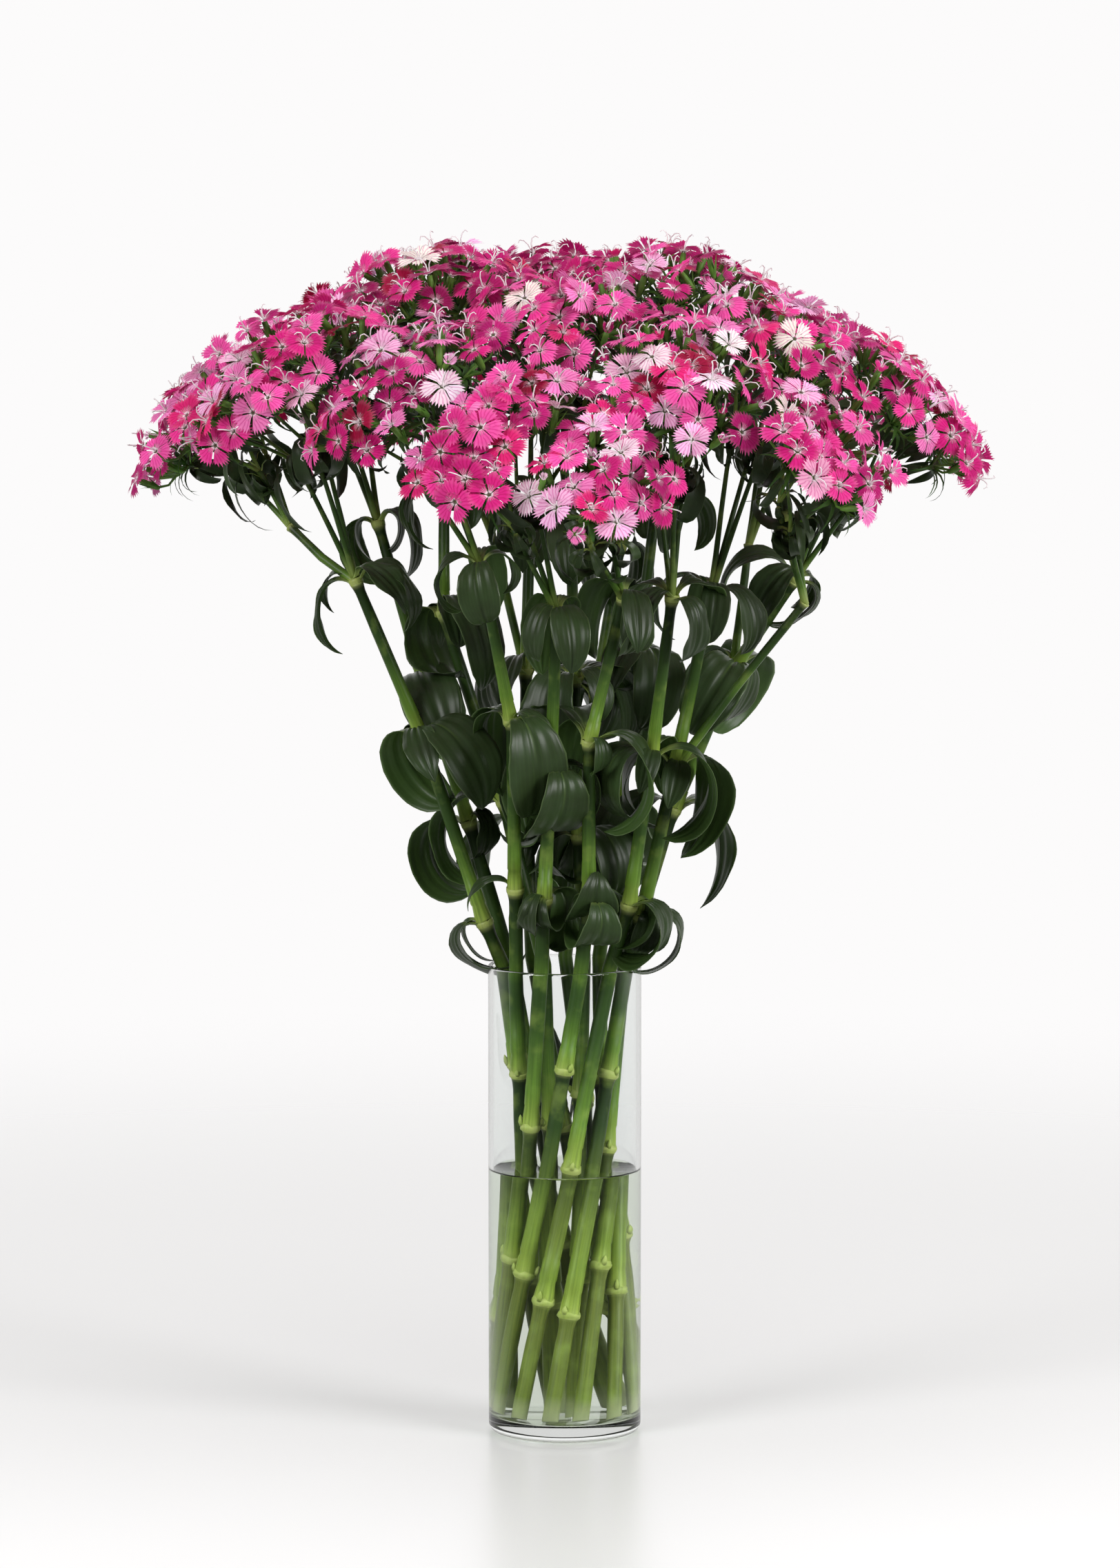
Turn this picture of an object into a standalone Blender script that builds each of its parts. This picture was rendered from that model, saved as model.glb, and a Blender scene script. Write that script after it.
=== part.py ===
"""A bunch of cut dianthus in a clear glass cylinder vase, at rest, in metres with +Z up.

The tables hold millimetres. The origin is on the ground under the middle of the vase.
"""

import math

import bmesh
import bpy
from mathutils import Matrix, Vector
from mathutils.bvhtree import BVHTree

MM = 0.001
GAP = 0.3
SEGMENTS = 24

# Vase: a plain straight cylinder with a thick floor and a rounded heel
VASE_HEIGHT = 300.0
VASE_RADIUS = 48.5
WALL = 3.0
FLOOR = 11.0
HEEL = 6.5
WATER_LEVEL = 170.0

# Stalks: radius at the foot, at the rim of the vase and at the fork
STALK_FOOT = 5.0
STALK_RIM = 4.6
STALK_FORK = 3.5
NODE_SWELL = 1.16
FOOT_Z = 13.2
SHOOT_RADIUS = 2.5
BRANCH_RADIUS = 1.9
BRANCHES = 3
HOLE_RADIUS = 6.66

# Blooms: the flat crown of five fringed petals, larger than life so that fewer cover the head
BLOOM_RADIUS = 20.0
BLOOM_SPACING = 33.0
PLATE_RADIUS = 21.0
PLATE_HEIGHT = 12.0
PLATE_DEPTH = 60.0
HEAD_CURVE = 95.0

GOLDEN = math.radians(137.508)

# foot x, y; rim x, y; swellings inside the vase by height; knots above the rim with their leaves
STEMS = {
    "stem_01": {
        "foot": (-2.2, 37.3), "rim": (-39.1, -4.5), "inner": (96, 234),
        "knots": ((-50, -9, 326, 2), (-89, -25, 446, 2), (-130, -35, 545, 1)),
        "shoots": (((-130, -35, 545), (-152, -24, 560), (-172, -8, 578)),),
    },
    "stem_02": {
        "foot": (18.0, 32.8), "rim": (-35.2, 17.3), "inner": (118, 214),
        "knots": ((-60, 24, 385, 2), (-88, 31, 470, 2), (-118, 42, 575, 1)),
        "shoots": (),
    },
    "stem_03": {
        "foot": (-3.9, 13.5), "rim": (-13.0, -5.0), "inner": (82, 196),
        "knots": ((-38, -3, 402, 2), (-76, -8, 522, 2), (-76, 8, 600, 1)),
        "shoots": (),
    },
    "stem_04": {
        "foot": (-22.2, 30.1), "rim": (-30.5, -24.5), "inner": (70, 231),
        "knots": ((-31, -35, 350, 0), (-33, -60, 459, 2), (-52, -86, 559, 1)),
        "shoots": (),
    },
    "stem_05": {
        "foot": (-33.0, 13.2), "rim": (-14.8, -36.5), "inner": (112, 198),
        "knots": ((-13, -45, 345, 2), (-9, -60, 425, 2), (-5, -85, 530, 1)),
        "shoots": (),
    },
    "stem_06": {
        "foot": (-36.8, -6.9), "rim": (10.0, -38.0), "inner": (104, 236),
        "knots": ((15, -48, 344, 2), (15, -70, 447, 2), (36, -91, 539, 1)),
        "shoots": (),
    },
    "stem_07": {
        "foot": (-26.8, -26.1), "rim": (28.0, -27.6), "inner": (88, 172),
        "knots": ((40, -36, 340, 2), (54, -55, 437, 2), (66, -84, 538, 1)),
        "shoots": (),
    },
    "stem_08": {
        "foot": (-8.8, -36.3), "rim": (38.3, -9.3), "inner": (80, 231),
        "knots": ((48, -14, 330, 2), (69, -30, 428, 2), (91, -43, 538, 1)),
        "shoots": (((69, -30, 428), (108, -46, 482), (149, -62, 535)),),
    },
    "stem_09": {
        "foot": (9.1, -32.0), "rim": (38.2, 9.7), "inner": (110, 182),
        "knots": ((68, 12, 395, 2), (106, 15, 485, 2), (144, 0, 543, 1)),
        "shoots": (((106, 15, 485), (112, 34, 525), (117, 50, 562)),),
    },
    "stem_10": {
        "foot": (28.6, -23.7), "rim": (22.0, 32.0), "inner": (92, 222),
        "knots": ((34, 35, 390, 2), (46, 37, 490, 2), (58, 38, 590, 1)),
        "shoots": (),
    },
    "stem_11": {
        "foot": (37.2, -3.9), "rim": (0.3, 38.8), "inner": (124, 205),
        "knots": ((10, 55, 375, 2), (20, 72, 462, 2), (35, 92, 555, 1)),
        "shoots": (),
    },
    "stem_12": {
        "foot": (33.1, 17.4), "rim": (-20.7, 33.2), "inner": (76, 190),
        "knots": ((-24, 46, 380, 2), (-25, 62, 478, 2), (-22, 78, 580, 1)),
        "shoots": (((-25, 62, 478), (-36, 84, 522), (-46, 104, 562)),),
    },
    "stem_13": {
        "foot": (5.1, -13.0), "rim": (12.0, 6.0), "inner": (100, 216),
        "knots": ((9, -2, 380, 2), (6, -8, 480, 2), (4, -12, 575, 1)),
        "shoots": (),
    },
}

# stem, which of its forks (0 is the stem, 1 its side shoot), tip x, y, z, tilt and half-angle
HEADS = {
    "head_01": ("stem_01", 1, (-243, 15, 664), 47, 31, "#E96CA8"),
    "head_02": ("stem_01", 0, (-200, -62, 700), 36, 45, "#E2559A"),
    "head_03": ("stem_02", 0, (-172, 95, 706), 36, 44, "#D8408A"),
    "head_04": ("stem_03", 0, (-88, 35, 752), 12, 44, "#D23C86"),
    "head_05": ("stem_04", 0, (-112, -112, 696), 34, 42, "#E35B9F"),
    "head_06": ("stem_05", 0, (-45, -165, 664), 40, 38, "#DF4E97"),
    "head_07": ("stem_06", 0, (18, -188, 640), 46, 34, "#E664A6"),
    "head_08": ("stem_07", 0, (88, -120, 698), 32, 40, "#D6387F"),
    "head_09": ("stem_08", 0, (148, -30, 716), 26, 40, "#DC4890"),
    "head_10": ("stem_08", 1, (170, -118, 650), 46, 32, "#E4609F"),
    "head_11": ("stem_09", 0, (230, 0, 674), 42, 40, "#E76BA7"),
    "head_12": ("stem_09", 1, (172, 100, 700), 36, 44, "#DB4A90"),
    "head_13": ("stem_10", 0, (80, 40, 752), 12, 44, "#D03A84"),
    "head_14": ("stem_11", 0, (85, 165, 696), 36, 44, "#DD5096"),
    "head_15": ("stem_12", 0, (-10, 120, 742), 18, 42, "#D9458C"),
    "head_16": ("stem_12", 1, (-85, 180, 692), 36, 44, "#DF5799"),
    "head_17": ("stem_13", 0, (0, -45, 736), 8, 44, "#DE4C94"),
}


def clear_scene():
    for item in list(bpy.data.objects):
        bpy.data.objects.remove(item, do_unlink=True)


def linear(hex_colour):
    """sRGB hex to the linear values that Blender's shaders take."""
    values = [int(hex_colour[i:i + 2], 16) / 255 for i in (1, 3, 5)]
    return tuple(v / 12.92 if v <= 0.04045 else ((v + 0.055) / 1.055) ** 2.4 for v in values)


def material(name, hex_colour, roughness, transmission=0.0, ior=1.45):
    made = bpy.data.materials.new(name)
    made.use_nodes = True
    shader = made.node_tree.nodes["Principled BSDF"]
    shader.inputs["Base Color"].default_value = (*linear(hex_colour), 1.0)
    shader.inputs["Roughness"].default_value = roughness
    shader.inputs["Metallic"].default_value = 0.0
    shader.inputs["Transmission Weight"].default_value = transmission
    shader.inputs["IOR"].default_value = ior
    made.diffuse_color = (*linear(hex_colour), 1.0)
    return made


def collection(name):
    made = bpy.data.collections.new(name)
    bpy.context.scene.collection.children.link(made)
    return made


def place(obj, home):
    for old in list(obj.users_collection):
        old.objects.unlink(obj)
    home.objects.link(obj)


def object_from(name, bm, home):
    """The bmesh, in millimetres, as an object in metres."""
    bmesh.ops.scale(bm, vec=(MM, MM, MM), verts=bm.verts)
    bmesh.ops.recalc_face_normals(bm, faces=bm.faces)
    mesh = bpy.data.meshes.new(name)
    bm.to_mesh(mesh)
    bm.free()
    obj = bpy.data.objects.new(name, mesh)
    home.objects.link(obj)
    return obj


def loft(rings):
    """A closed skin through the rings, from the first to the last; a ring of one point is a tip."""
    bm = bmesh.new()
    made = [[bm.verts.new(p) for p in ring] for ring in rings]
    for low, high in zip(made, made[1:]):
        bridge(bm, low, high)
    for end in (made[0], made[-1]):
        if len(end) > 2:
            bm.faces.new(end)
    bmesh.ops.recalc_face_normals(bm, faces=bm.faces)
    return bm


def bridge(bm, low, high):
    """Faces between two rings that both start at the same side, whatever their counts."""
    a, b = len(low), len(high)
    if a == 1 or b == 1:
        tip, ring = (low[0], high) if a == 1 else (high[0], low)
        for i in range(len(ring)):
            bm.faces.new((ring[i], ring[(i + 1) % len(ring)], tip))
        return
    i = j = 0
    while i < a or j < b:
        if j == b or (i < a and (i + 0.5) / a <= (j + 0.5) / b):
            bm.faces.new((low[i % a], low[(i + 1) % a], high[j % b]))
            i += 1
        else:
            bm.faces.new((low[i % a], high[(j + 1) % b], high[j % b]))
            j += 1


def tube(name, points, radii, sides, home):
    """A round stalk along the points: a curve with a bevel and caps, turned into a mesh."""
    curve = bpy.data.curves.new(name, "CURVE")
    curve.dimensions = "3D"
    curve.bevel_depth = MM
    curve.bevel_resolution = sides // 2 - 2
    curve.use_fill_caps = True
    spline = curve.splines.new("POLY")
    spline.points.add(len(points) - 1)
    for point, at, radius in zip(spline.points, points, radii):
        point.co = (at[0] * MM, at[1] * MM, at[2] * MM, 1.0)
        point.radius = radius
    helper = bpy.data.objects.new(name + "_curve", curve)
    bpy.context.scene.collection.objects.link(helper)
    bpy.context.view_layer.update()
    graph = bpy.context.evaluated_depsgraph_get()
    mesh = bpy.data.meshes.new_from_object(helper.evaluated_get(graph))
    bpy.data.objects.remove(helper, do_unlink=True)
    bm = bmesh.new()
    bm.from_mesh(mesh)
    bmesh.ops.remove_doubles(bm, verts=bm.verts, dist=1e-6)
    bmesh.ops.recalc_face_normals(bm, faces=bm.faces)
    bm.to_mesh(mesh)
    bm.free()
    mesh.name = name
    obj = bpy.data.objects.new(name, mesh)
    home.objects.link(obj)
    return obj


def apply_boolean(target, operation, operands, solver="EXACT"):
    """One Boolean of the target with a collection of closed meshes, applied; the operands go."""
    group = collection(target.name + "_operands")
    for obj in operands:
        place(obj, group)
    modifier = target.modifiers.new(operation.title(), "BOOLEAN")
    modifier.operation = operation
    modifier.operand_type = "COLLECTION"
    modifier.collection = group
    modifier.solver = solver
    bpy.context.view_layer.update()
    graph = bpy.context.evaluated_depsgraph_get()
    mesh = bpy.data.meshes.new_from_object(target.evaluated_get(graph))
    target.modifiers.remove(modifier)
    target.data = mesh
    for obj in operands:
        bpy.data.objects.remove(obj, do_unlink=True)
    bpy.data.collections.remove(group)


def turned(name, profile, home):
    """A solid turned about Z from a profile of (radius, height), run from top to bottom."""
    mesh = bpy.data.meshes.new(name)
    bm = bmesh.new()
    verts = [bm.verts.new((r * MM, 0.0, z * MM)) for r, z in profile]
    for a, b in zip(verts, verts[1:]):
        bm.edges.new((a, b))
    bm.to_mesh(mesh)
    bm.free()
    obj = bpy.data.objects.new(name, mesh)
    home.objects.link(obj)
    screw = obj.modifiers.new("Turn", "SCREW")
    screw.axis = "Z"
    screw.steps = SEGMENTS
    screw.render_steps = SEGMENTS
    screw.use_merge_vertices = True
    screw.merge_threshold = 0.00001
    return obj


def vase_profile():
    """From the inside of the floor up over the rounded rim and down the outer side."""
    outer, inner, top = VASE_RADIUS, VASE_RADIUS - WALL, VASE_HEIGHT
    rise = HEEL * (1 - math.cos(math.radians(45)))
    return [
        (0.0, FLOOR), (inner - 2.5, FLOOR), (inner, FLOOR + 2.5),
        (inner, top - 1.0), (inner + 0.8, top), (outer - 0.8, top), (outer, top - 1.0),
        (outer, HEEL), (outer - rise, rise), (outer - HEEL, 0.0), (0.0, 0.0),
    ]


def water_profile():
    """The water stands a hair inside the glass, so that the two solids never touch."""
    inner = VASE_RADIUS - WALL - GAP
    return [
        (0.0, WATER_LEVEL), (inner, WATER_LEVEL), (inner, FLOOR + 2.5 + GAP),
        (inner - 2.5, FLOOR + GAP), (0.0, FLOOR + GAP),
    ]


def stalk_radius(z):
    if z < VASE_HEIGHT:
        return STALK_FOOT + (STALK_RIM - STALK_FOOT) * z / VASE_HEIGHT
    return STALK_RIM + (STALK_FORK - STALK_RIM) * min(1.0, (z - VASE_HEIGHT) / 250.0)


def stalk_path(stem):
    """Points and radii from the foot to the fork, thickening up to every knot and slim above it."""
    foot = Vector((*stem["foot"], FOOT_Z))
    rim = Vector((*stem["rim"], VASE_HEIGHT))
    knots = [foot.lerp(rim, (z - FOOT_Z) / (VASE_HEIGHT - FOOT_Z)) for z in stem["inner"]]
    knots += [Vector(k[:3]) for k in stem["knots"][:-1]]
    path = [foot] + knots[:2] + [rim] + knots[2:] + [Vector(stem["knots"][-1][:3])]
    points, radii = [foot], [stalk_radius(FOOT_Z)]
    for here, after in zip(path[1:], path[2:]):
        radius = stalk_radius(here.z)
        if here is rim:
            points.append(here)
            radii.append(radius)
            continue
        swell = NODE_SWELL if here.z < VASE_HEIGHT else 1.32
        points += [here, here + (after - here).normalized() * 6]
        radii += [radius * swell, radius * 0.96]
    last = path[-1]
    down = (path[-2] - last).normalized()
    points += [last + down * 6, last, last - down * 3]
    radii += [STALK_FORK, STALK_FORK * 1.35, STALK_FORK * 0.9]
    return points, radii


def tangent_at(stem, index):
    """The way the stalk runs at one of its knots above the rim."""
    rim = Vector((*stem["rim"], VASE_HEIGHT))
    path = [rim] + [Vector(k[:3]) for k in stem["knots"]]
    before, here = path[index], path[index + 1]
    after = path[index + 2] if index + 2 < len(path) else here + (here - before)
    return ((here - before).normalized() + (after - here).normalized()).normalized()


def head_frame(head):
    """Middle of the head's plate, its axis, and the two directions across it."""
    _, _, tip, tilt, _, _ = HEADS[head]
    around = math.atan2(tip[1], tip[0])
    lean = math.radians(tilt)
    axis = Vector((math.sin(lean) * math.cos(around), math.sin(lean) * math.sin(around), math.cos(lean)))
    side = axis.cross(Vector((0, 0, 1)))
    side = side.normalized() if side.length > 1e-3 else Vector((1, 0, 0))
    return Vector(tip) - axis * PLATE_DEPTH, axis, side, axis.cross(side)


def fork_of(head):
    stem = STEMS[HEADS[head][0]]
    if HEADS[head][1] == 0:
        return Vector(stem["knots"][-1][:3])
    return Vector(stem["shoots"][0][-1])


def bloom_places():
    """Where the blooms sit: on the heads' caps, outside the neighbouring caps, none touching another."""
    found = {head: [] for head in HEADS}
    crowns = []
    for _, head, ray, at in bloom_candidates():
        if any((at - spot).length < BLOOM_SPACING for spot, _ in crowns):
            continue
        if any(covered_by(at, k) for k in HEADS if k != head):
            continue
        around = [tree for spot, tree in crowns if (at - spot).length < 2.3 * BLOOM_RADIUS]
        turn = 1.9 * len(found[head])
        for level in (0.0, -4.5, 3.0, -8.5):
            spot = at + ray * level
            crown = tree_of(bloom(spot, ray, spot - ray * 10, turn, 1.03, 9.0))
            if not any(crown.overlap(tree) for tree in around):
                found[head].append((spot, ray, turn))
                crowns.append((spot, crown))
                break
    return found


def bloom_candidates():
    """Places on the caps in an even spiral, those nearest the axes of the heads first."""
    candidates = []
    for head in HEADS:
        _, axis, side, other = head_frame(head)
        centre = cap_centre(head)
        lowest = math.cos(math.radians(HEADS[head][4]))
        for i in range(300):
            height = 1 - (1 - lowest) * (i + 0.5) / 300
            flat = math.sqrt(1 - height * height)
            turn = i * GOLDEN
            ray = axis * height + side * (flat * math.cos(turn)) + other * (flat * math.sin(turn))
            candidates.append((1 - height, head, ray, centre + ray * HEAD_CURVE))
    return sorted(candidates, key=lambda c: (round(c[0], 4), c[1]))


def cap_centre(head):
    return Vector(HEADS[head][2]) - head_frame(head)[1] * HEAD_CURVE


def covered_by(at, head):
    """Whether the neighbour's own cap covers this place."""
    away = at - cap_centre(head)
    inside = away.length < HEAD_CURVE - 4
    return inside and away.angle(head_frame(head)[1]) < math.radians(HEADS[head][4])


def bloom(at, ray, target, turn, size, stop=2.5):
    """Five broad petals as a fifteen-point crown on a three-sided calyx that reaches the plate."""
    side = ray.orthogonal().normalized()
    other = ray.cross(side)
    radius = BLOOM_RADIUS * size

    def spot(angle, out, height):
        return at + side * (out * math.cos(angle)) + other * (out * math.sin(angle)) + ray * height

    rim = []
    for i in range(5):
        middle = turn + math.radians(72 * i)
        rim.append(spot(middle - math.radians(28), radius, 0.6))
        rim.append(spot(middle + math.radians(28), radius, 0.6))
        rim.append(spot(middle + math.radians(36), radius * 0.6, -1.4))
    throat = spot(0, 0, -4.0)
    start = turn - math.radians(28)
    neck = [spot(start + math.radians(120 * i), 2.6, -7.5) for i in range(3)]
    down = (target - at).normalized()
    reach = (target - at).length - stop
    end = [p + down * max(0.5, reach - 7.5) for p in neck]
    return loft([[throat], rim, neck, end])


def build_head(head, places, home, helpers):
    middle, axis, side, other = head_frame(head)
    ring = [(PLATE_RADIUS, 0.0), (PLATE_RADIUS * 0.7, PLATE_HEIGHT * 0.8)]
    rings = []
    for out, height in ring:
        rings.append([
            middle + axis * height + side * (out * math.cos(t)) + other * (out * math.sin(t))
            for t in (math.radians(45 * k) for k in range(8))
        ])
    rings.append([middle + axis * PLATE_HEIGHT])
    plate = object_from(head, loft(rings), home)
    target = middle + axis * 6
    pieces = []
    for at, ray, turn in places:
        pieces.append(object_from(f"{head}_bloom", bloom(at, ray, target, turn, 1.0), helpers))
    apply_boolean(plate, "UNION", pieces)
    return plate


def bent(start, end, leave, arrive, count):
    """Points of a smooth bend that leaves along one direction and arrives along the other."""
    reach = (end - start).length * 0.38
    a, b = start + leave * reach, end - arrive * reach
    out = []
    for k in range(count):
        t = k / (count - 1)
        s = 1 - t
        out.append(start * s ** 3 + a * (3 * s * s * t) + b * (3 * s * t * t) + end * t ** 3)
    return out


def branch_pieces(head, helpers):
    """The branches of a head: they part at the fork and end flat, a hair under the plate."""
    middle, axis, side, other = head_frame(head)
    fork = fork_of(head)
    seat = middle - axis * GAP
    run = (seat - fork).normalized()
    made = []
    for k in range(BRANCHES):
        turn = math.radians(360 / BRANCHES * k + 20)
        aside = side * math.cos(turn) + other * math.sin(turn)
        end = seat + aside * 13.0
        leave = (run + aside * 0.55).normalized()
        points = bent(fork, end - axis * 4.0, leave, axis, 3) + [end]
        points[0] = fork - run * 1.0
        made.append(tube(f"{head}_branch", points, [BRANCH_RADIUS * 1.25] + [BRANCH_RADIUS] * 3, 4, helpers))
    return made


def leaf_rings(base, out, up, plan, spare=0.0):
    """Rings of a curled blade: left edge, keel, right edge. It leaves upward, rolls over and down."""
    length, width, rise, turn, drift = plan
    side = up.cross(out).normalized()
    stations = (0.0, 0.1, 0.32, 0.56, 0.8, 1.0)
    widths = (0.34, 0.4, 0.95, 1.0, 0.62, 0.0)
    at, last, rings = Vector(base), 0.0, []
    for s, share in zip(stations, widths):
        for k in range(6):
            t = last + (s - last) * (k + 0.5) / 6
            angle = math.radians(rise - turn * t ** 1.15)
            way = out * math.cos(angle) + up * math.sin(angle) + side * (drift * t)
            at = at + way.normalized() * (length * (s - last) / 6)
        last = s
        angle = math.radians(rise - turn * s ** 1.15)
        face = up * math.cos(angle) - out * math.sin(angle)
        half = width / 2 * share + spare
        thick = 1.5 - 0.5 * s + spare
        if s == 1.0:
            rings.append([at])
            continue
        lift = face * (half * 0.12 + spare)
        rings.append([at + side * half + lift, at - face * thick, at - side * half + lift])
    return rings


def tree_of(bm):
    return BVHTree.FromBMesh(bm)


def tree_of_object(obj):
    bm = bmesh.new()
    bm.from_mesh(obj.data)
    bmesh.ops.scale(bm, vec=(1 / MM, 1 / MM, 1 / MM), verts=bm.verts)
    tree = BVHTree.FromBMesh(bm)
    bm.free()
    return tree


def leaf_plans(knot, high):
    """Candidates for one leaf, the wanted one first: turned a little, rolled tighter, made smaller."""
    if high:
        length, width, rise, turn = 50.0, 15.0, 50.0, 215.0
    else:
        length, width, rise, turn = 80.0, 31.0, 58.0, 225.0
    length *= 1 + 0.1 * math.sin(3.1 * knot)
    width *= 1 + 0.08 * math.cos(2.3 * knot)
    turn *= 1 + 0.12 * math.sin(1.7 * knot + 1)
    for scale in (1.0, 0.86, 0.72):
        for swing in (0, 18, -18, 36, -36, 54, -54):
            for roll in (1.0, 1.25, 0.75):
                yield swing, (length * scale, width * scale, rise, turn * roll, 0.12 * math.sin(knot))


def vase_clear(rings):
    """No leaf dips below the rim of the vase except well outside the glass."""
    for ring in rings:
        for p in ring:
            if p.z < VASE_HEIGHT + 3 and math.hypot(p.x, p.y) < VASE_RADIUS + 3:
                return False
    return True


def build_leaves(trees, helpers):
    """Leaves by stem, each tried against everything that stands, so that none crosses another node."""
    made = {name: [] for name in STEMS}
    count = 0
    for name, stem in STEMS.items():
        for index, knot in enumerate(stem["knots"]):
            up = tangent_at(stem, index)
            centre = Vector(knot[:3])
            first = math.atan2(centre.y, centre.x) + math.radians(90 * index + 25 * math.sin(count))
            for half in range(2):
                if knot[3] == 0:
                    continue
                count += 1
                leaf = grow_leaf(name, centre, up, first + math.pi * half, count, knot[3] == 1, trees)
                if leaf is None:
                    print(f"no room for a leaf of {name} at {centre.z:.0f}")
                    continue
                trees[f"leaf_{count}"] = (name, tree_of(loft(leaf[1])))
                made[name].append(object_from(f"{name}_leaf", loft(leaf[0]), helpers))
    return made


def grow_leaf(name, centre, up, azimuth, count, high, trees):
    for swing, plan in leaf_plans(count, high):
        angle = azimuth + math.radians(swing)
        out = Vector((math.cos(angle), math.sin(angle), 0.0))
        out = (out - up * out.dot(up)).normalized()
        base = centre + out * 1.6
        roomy = leaf_rings(base, out, up, plan, 0.45)
        if not vase_clear(roomy):
            continue
        whole = tree_of(loft(roomy))
        free = tree_of(loft(roomy[2:]))
        crossed = any(
            (free if owner == name else whole).overlap(tree) for owner, tree in trees.values()
        )
        if not crossed:
            return leaf_rings(base, out, up, plan), roomy
    return None


def stem_pieces(name, helpers):
    stem = STEMS[name]
    points, radii = stalk_path(stem)
    stalk = tube(name, points, radii, 6, helpers)
    pieces = []
    for shoot in stem["shoots"]:
        path = [Vector(p) for p in shoot]
        run = (path[-1] - path[-2]).normalized()
        path.append(path[-1] + run * 2.5)
        thick = [SHOOT_RADIUS * 1.2, SHOOT_RADIUS, SHOOT_RADIUS * 1.4, SHOOT_RADIUS]
        pieces.append(tube(f"{name}_shoot", path, thick, 6, helpers))
    for head, row in HEADS.items():
        if row[0] == name:
            pieces += branch_pieces(head, helpers)
    return stalk, pieces


def hole_cutter(name, stem, helpers):
    """A plain straight hole for one stalk, through the whole depth of the water."""
    foot = Vector((*stem["foot"], FOOT_Z))
    rim = Vector((*stem["rim"], VASE_HEIGHT))
    run = (rim - foot) / (rim.z - foot.z)
    low, high = foot + run * (FLOOR - 6 - FOOT_Z), foot + run * (WATER_LEVEL + 6 - FOOT_Z)
    bm = bmesh.new()
    length = (high - low).length
    turn = run.to_track_quat("Z", "Y").to_matrix().to_4x4()
    spot = Matrix.Translation((low + high) / 2) @ turn
    bmesh.ops.create_cone(
        bm, cap_ends=True, segments=8, radius1=HOLE_RADIUS, radius2=HOLE_RADIUS, depth=length, matrix=spot
    )
    return object_from(name, bm, helpers)


def dress(obj, made, smooth=False):
    obj.data.materials.clear()
    obj.data.materials.append(made)
    for face in obj.data.polygons:
        face.use_smooth = smooth


def build_glass_and_water(home, helpers):
    vase = turned("vase", vase_profile(), home)
    dress(vase, material("clear_glass", "#F4F8F6", 0.02, 1.0, 1.5))
    water = turned("water", water_profile(), home)
    bpy.context.view_layer.update()
    graph = bpy.context.evaluated_depsgraph_get()
    for obj in (vase, water):
        obj.data = bpy.data.meshes.new_from_object(obj.evaluated_get(graph))
        obj.modifiers.clear()
    cutters = [hole_cutter(f"hole_{name}", stem, helpers) for name, stem in STEMS.items()]
    apply_boolean(water, "DIFFERENCE", cutters)
    dress(water, material("still_water", "#EAF4EC", 0.01, 1.0, 1.33))


def main():
    clear_scene()
    home = collection("dianthus_in_vase")
    helpers = collection("helpers")
    build_glass_and_water(home, helpers)
    places = bloom_places()
    trees = {}
    for head in HEADS:
        body = build_head(head, places[head], home, helpers)
        dress(body, material(f"petals_{head[5:]}", HEADS[head][5], 0.6))
        trees[head] = (head, tree_of_object(body))
    stalks = {name: stem_pieces(name, helpers) for name in STEMS}
    for name, (stalk, pieces) in stalks.items():
        for i, piece in enumerate([stalk] + pieces):
            trees[f"{name}_{i}"] = (name, tree_of_object(piece))
    leaves = build_leaves(trees, helpers)
    for name, (stalk, pieces) in stalks.items():
        apply_boolean(stalk, "UNION", pieces + leaves[name])
        place(stalk, home)
        dress(stalk, material(f"green_{name[5:]}", "#2B4A20", 0.42))
    bpy.data.collections.remove(helpers)
    print("blooms", sum(len(p) for p in places.values()), "leaves", sum(len(v) for v in leaves.values()))


main()
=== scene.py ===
"""A bunch of cut dianthus in a clear glass cylinder vase with water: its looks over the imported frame.

The tables hold millimetres, and every mesh is made in millimetres and set in metres at the end.
"""

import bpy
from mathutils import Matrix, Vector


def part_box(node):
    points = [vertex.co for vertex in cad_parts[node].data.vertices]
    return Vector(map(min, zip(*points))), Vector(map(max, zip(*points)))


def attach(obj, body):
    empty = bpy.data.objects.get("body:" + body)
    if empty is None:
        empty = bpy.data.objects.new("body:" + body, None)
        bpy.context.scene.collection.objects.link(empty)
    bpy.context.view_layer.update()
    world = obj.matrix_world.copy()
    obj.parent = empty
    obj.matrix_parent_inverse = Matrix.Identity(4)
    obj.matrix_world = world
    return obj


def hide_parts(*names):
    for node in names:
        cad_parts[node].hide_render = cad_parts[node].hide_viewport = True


bl_info = {
    "name": "Dianthus Bunch in a Glass Vase",
    "version": (1, 0, 0),
    "blender": (4, 5, 0),
    "location": "View3D > Sidebar > Dianthus",
    "description": "Builds a bunch of cut dianthus in a glass cylinder vase, piece by piece",
    "category": "Object",
}

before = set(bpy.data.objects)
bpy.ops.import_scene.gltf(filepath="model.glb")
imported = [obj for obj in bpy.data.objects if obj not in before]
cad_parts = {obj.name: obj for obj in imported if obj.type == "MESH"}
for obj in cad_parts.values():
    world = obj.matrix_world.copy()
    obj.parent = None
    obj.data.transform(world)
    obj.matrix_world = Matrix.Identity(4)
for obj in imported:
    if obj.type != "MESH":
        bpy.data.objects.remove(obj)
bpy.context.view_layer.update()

import math
import random

import bmesh
import bpy
import numpy as np
from mathutils import Vector

MM = 0.001
VASE_LOW, VASE_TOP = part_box("vase")
WATER_LOW, WATER_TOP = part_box("water")
GOLDEN = math.radians(137.508)

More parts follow.
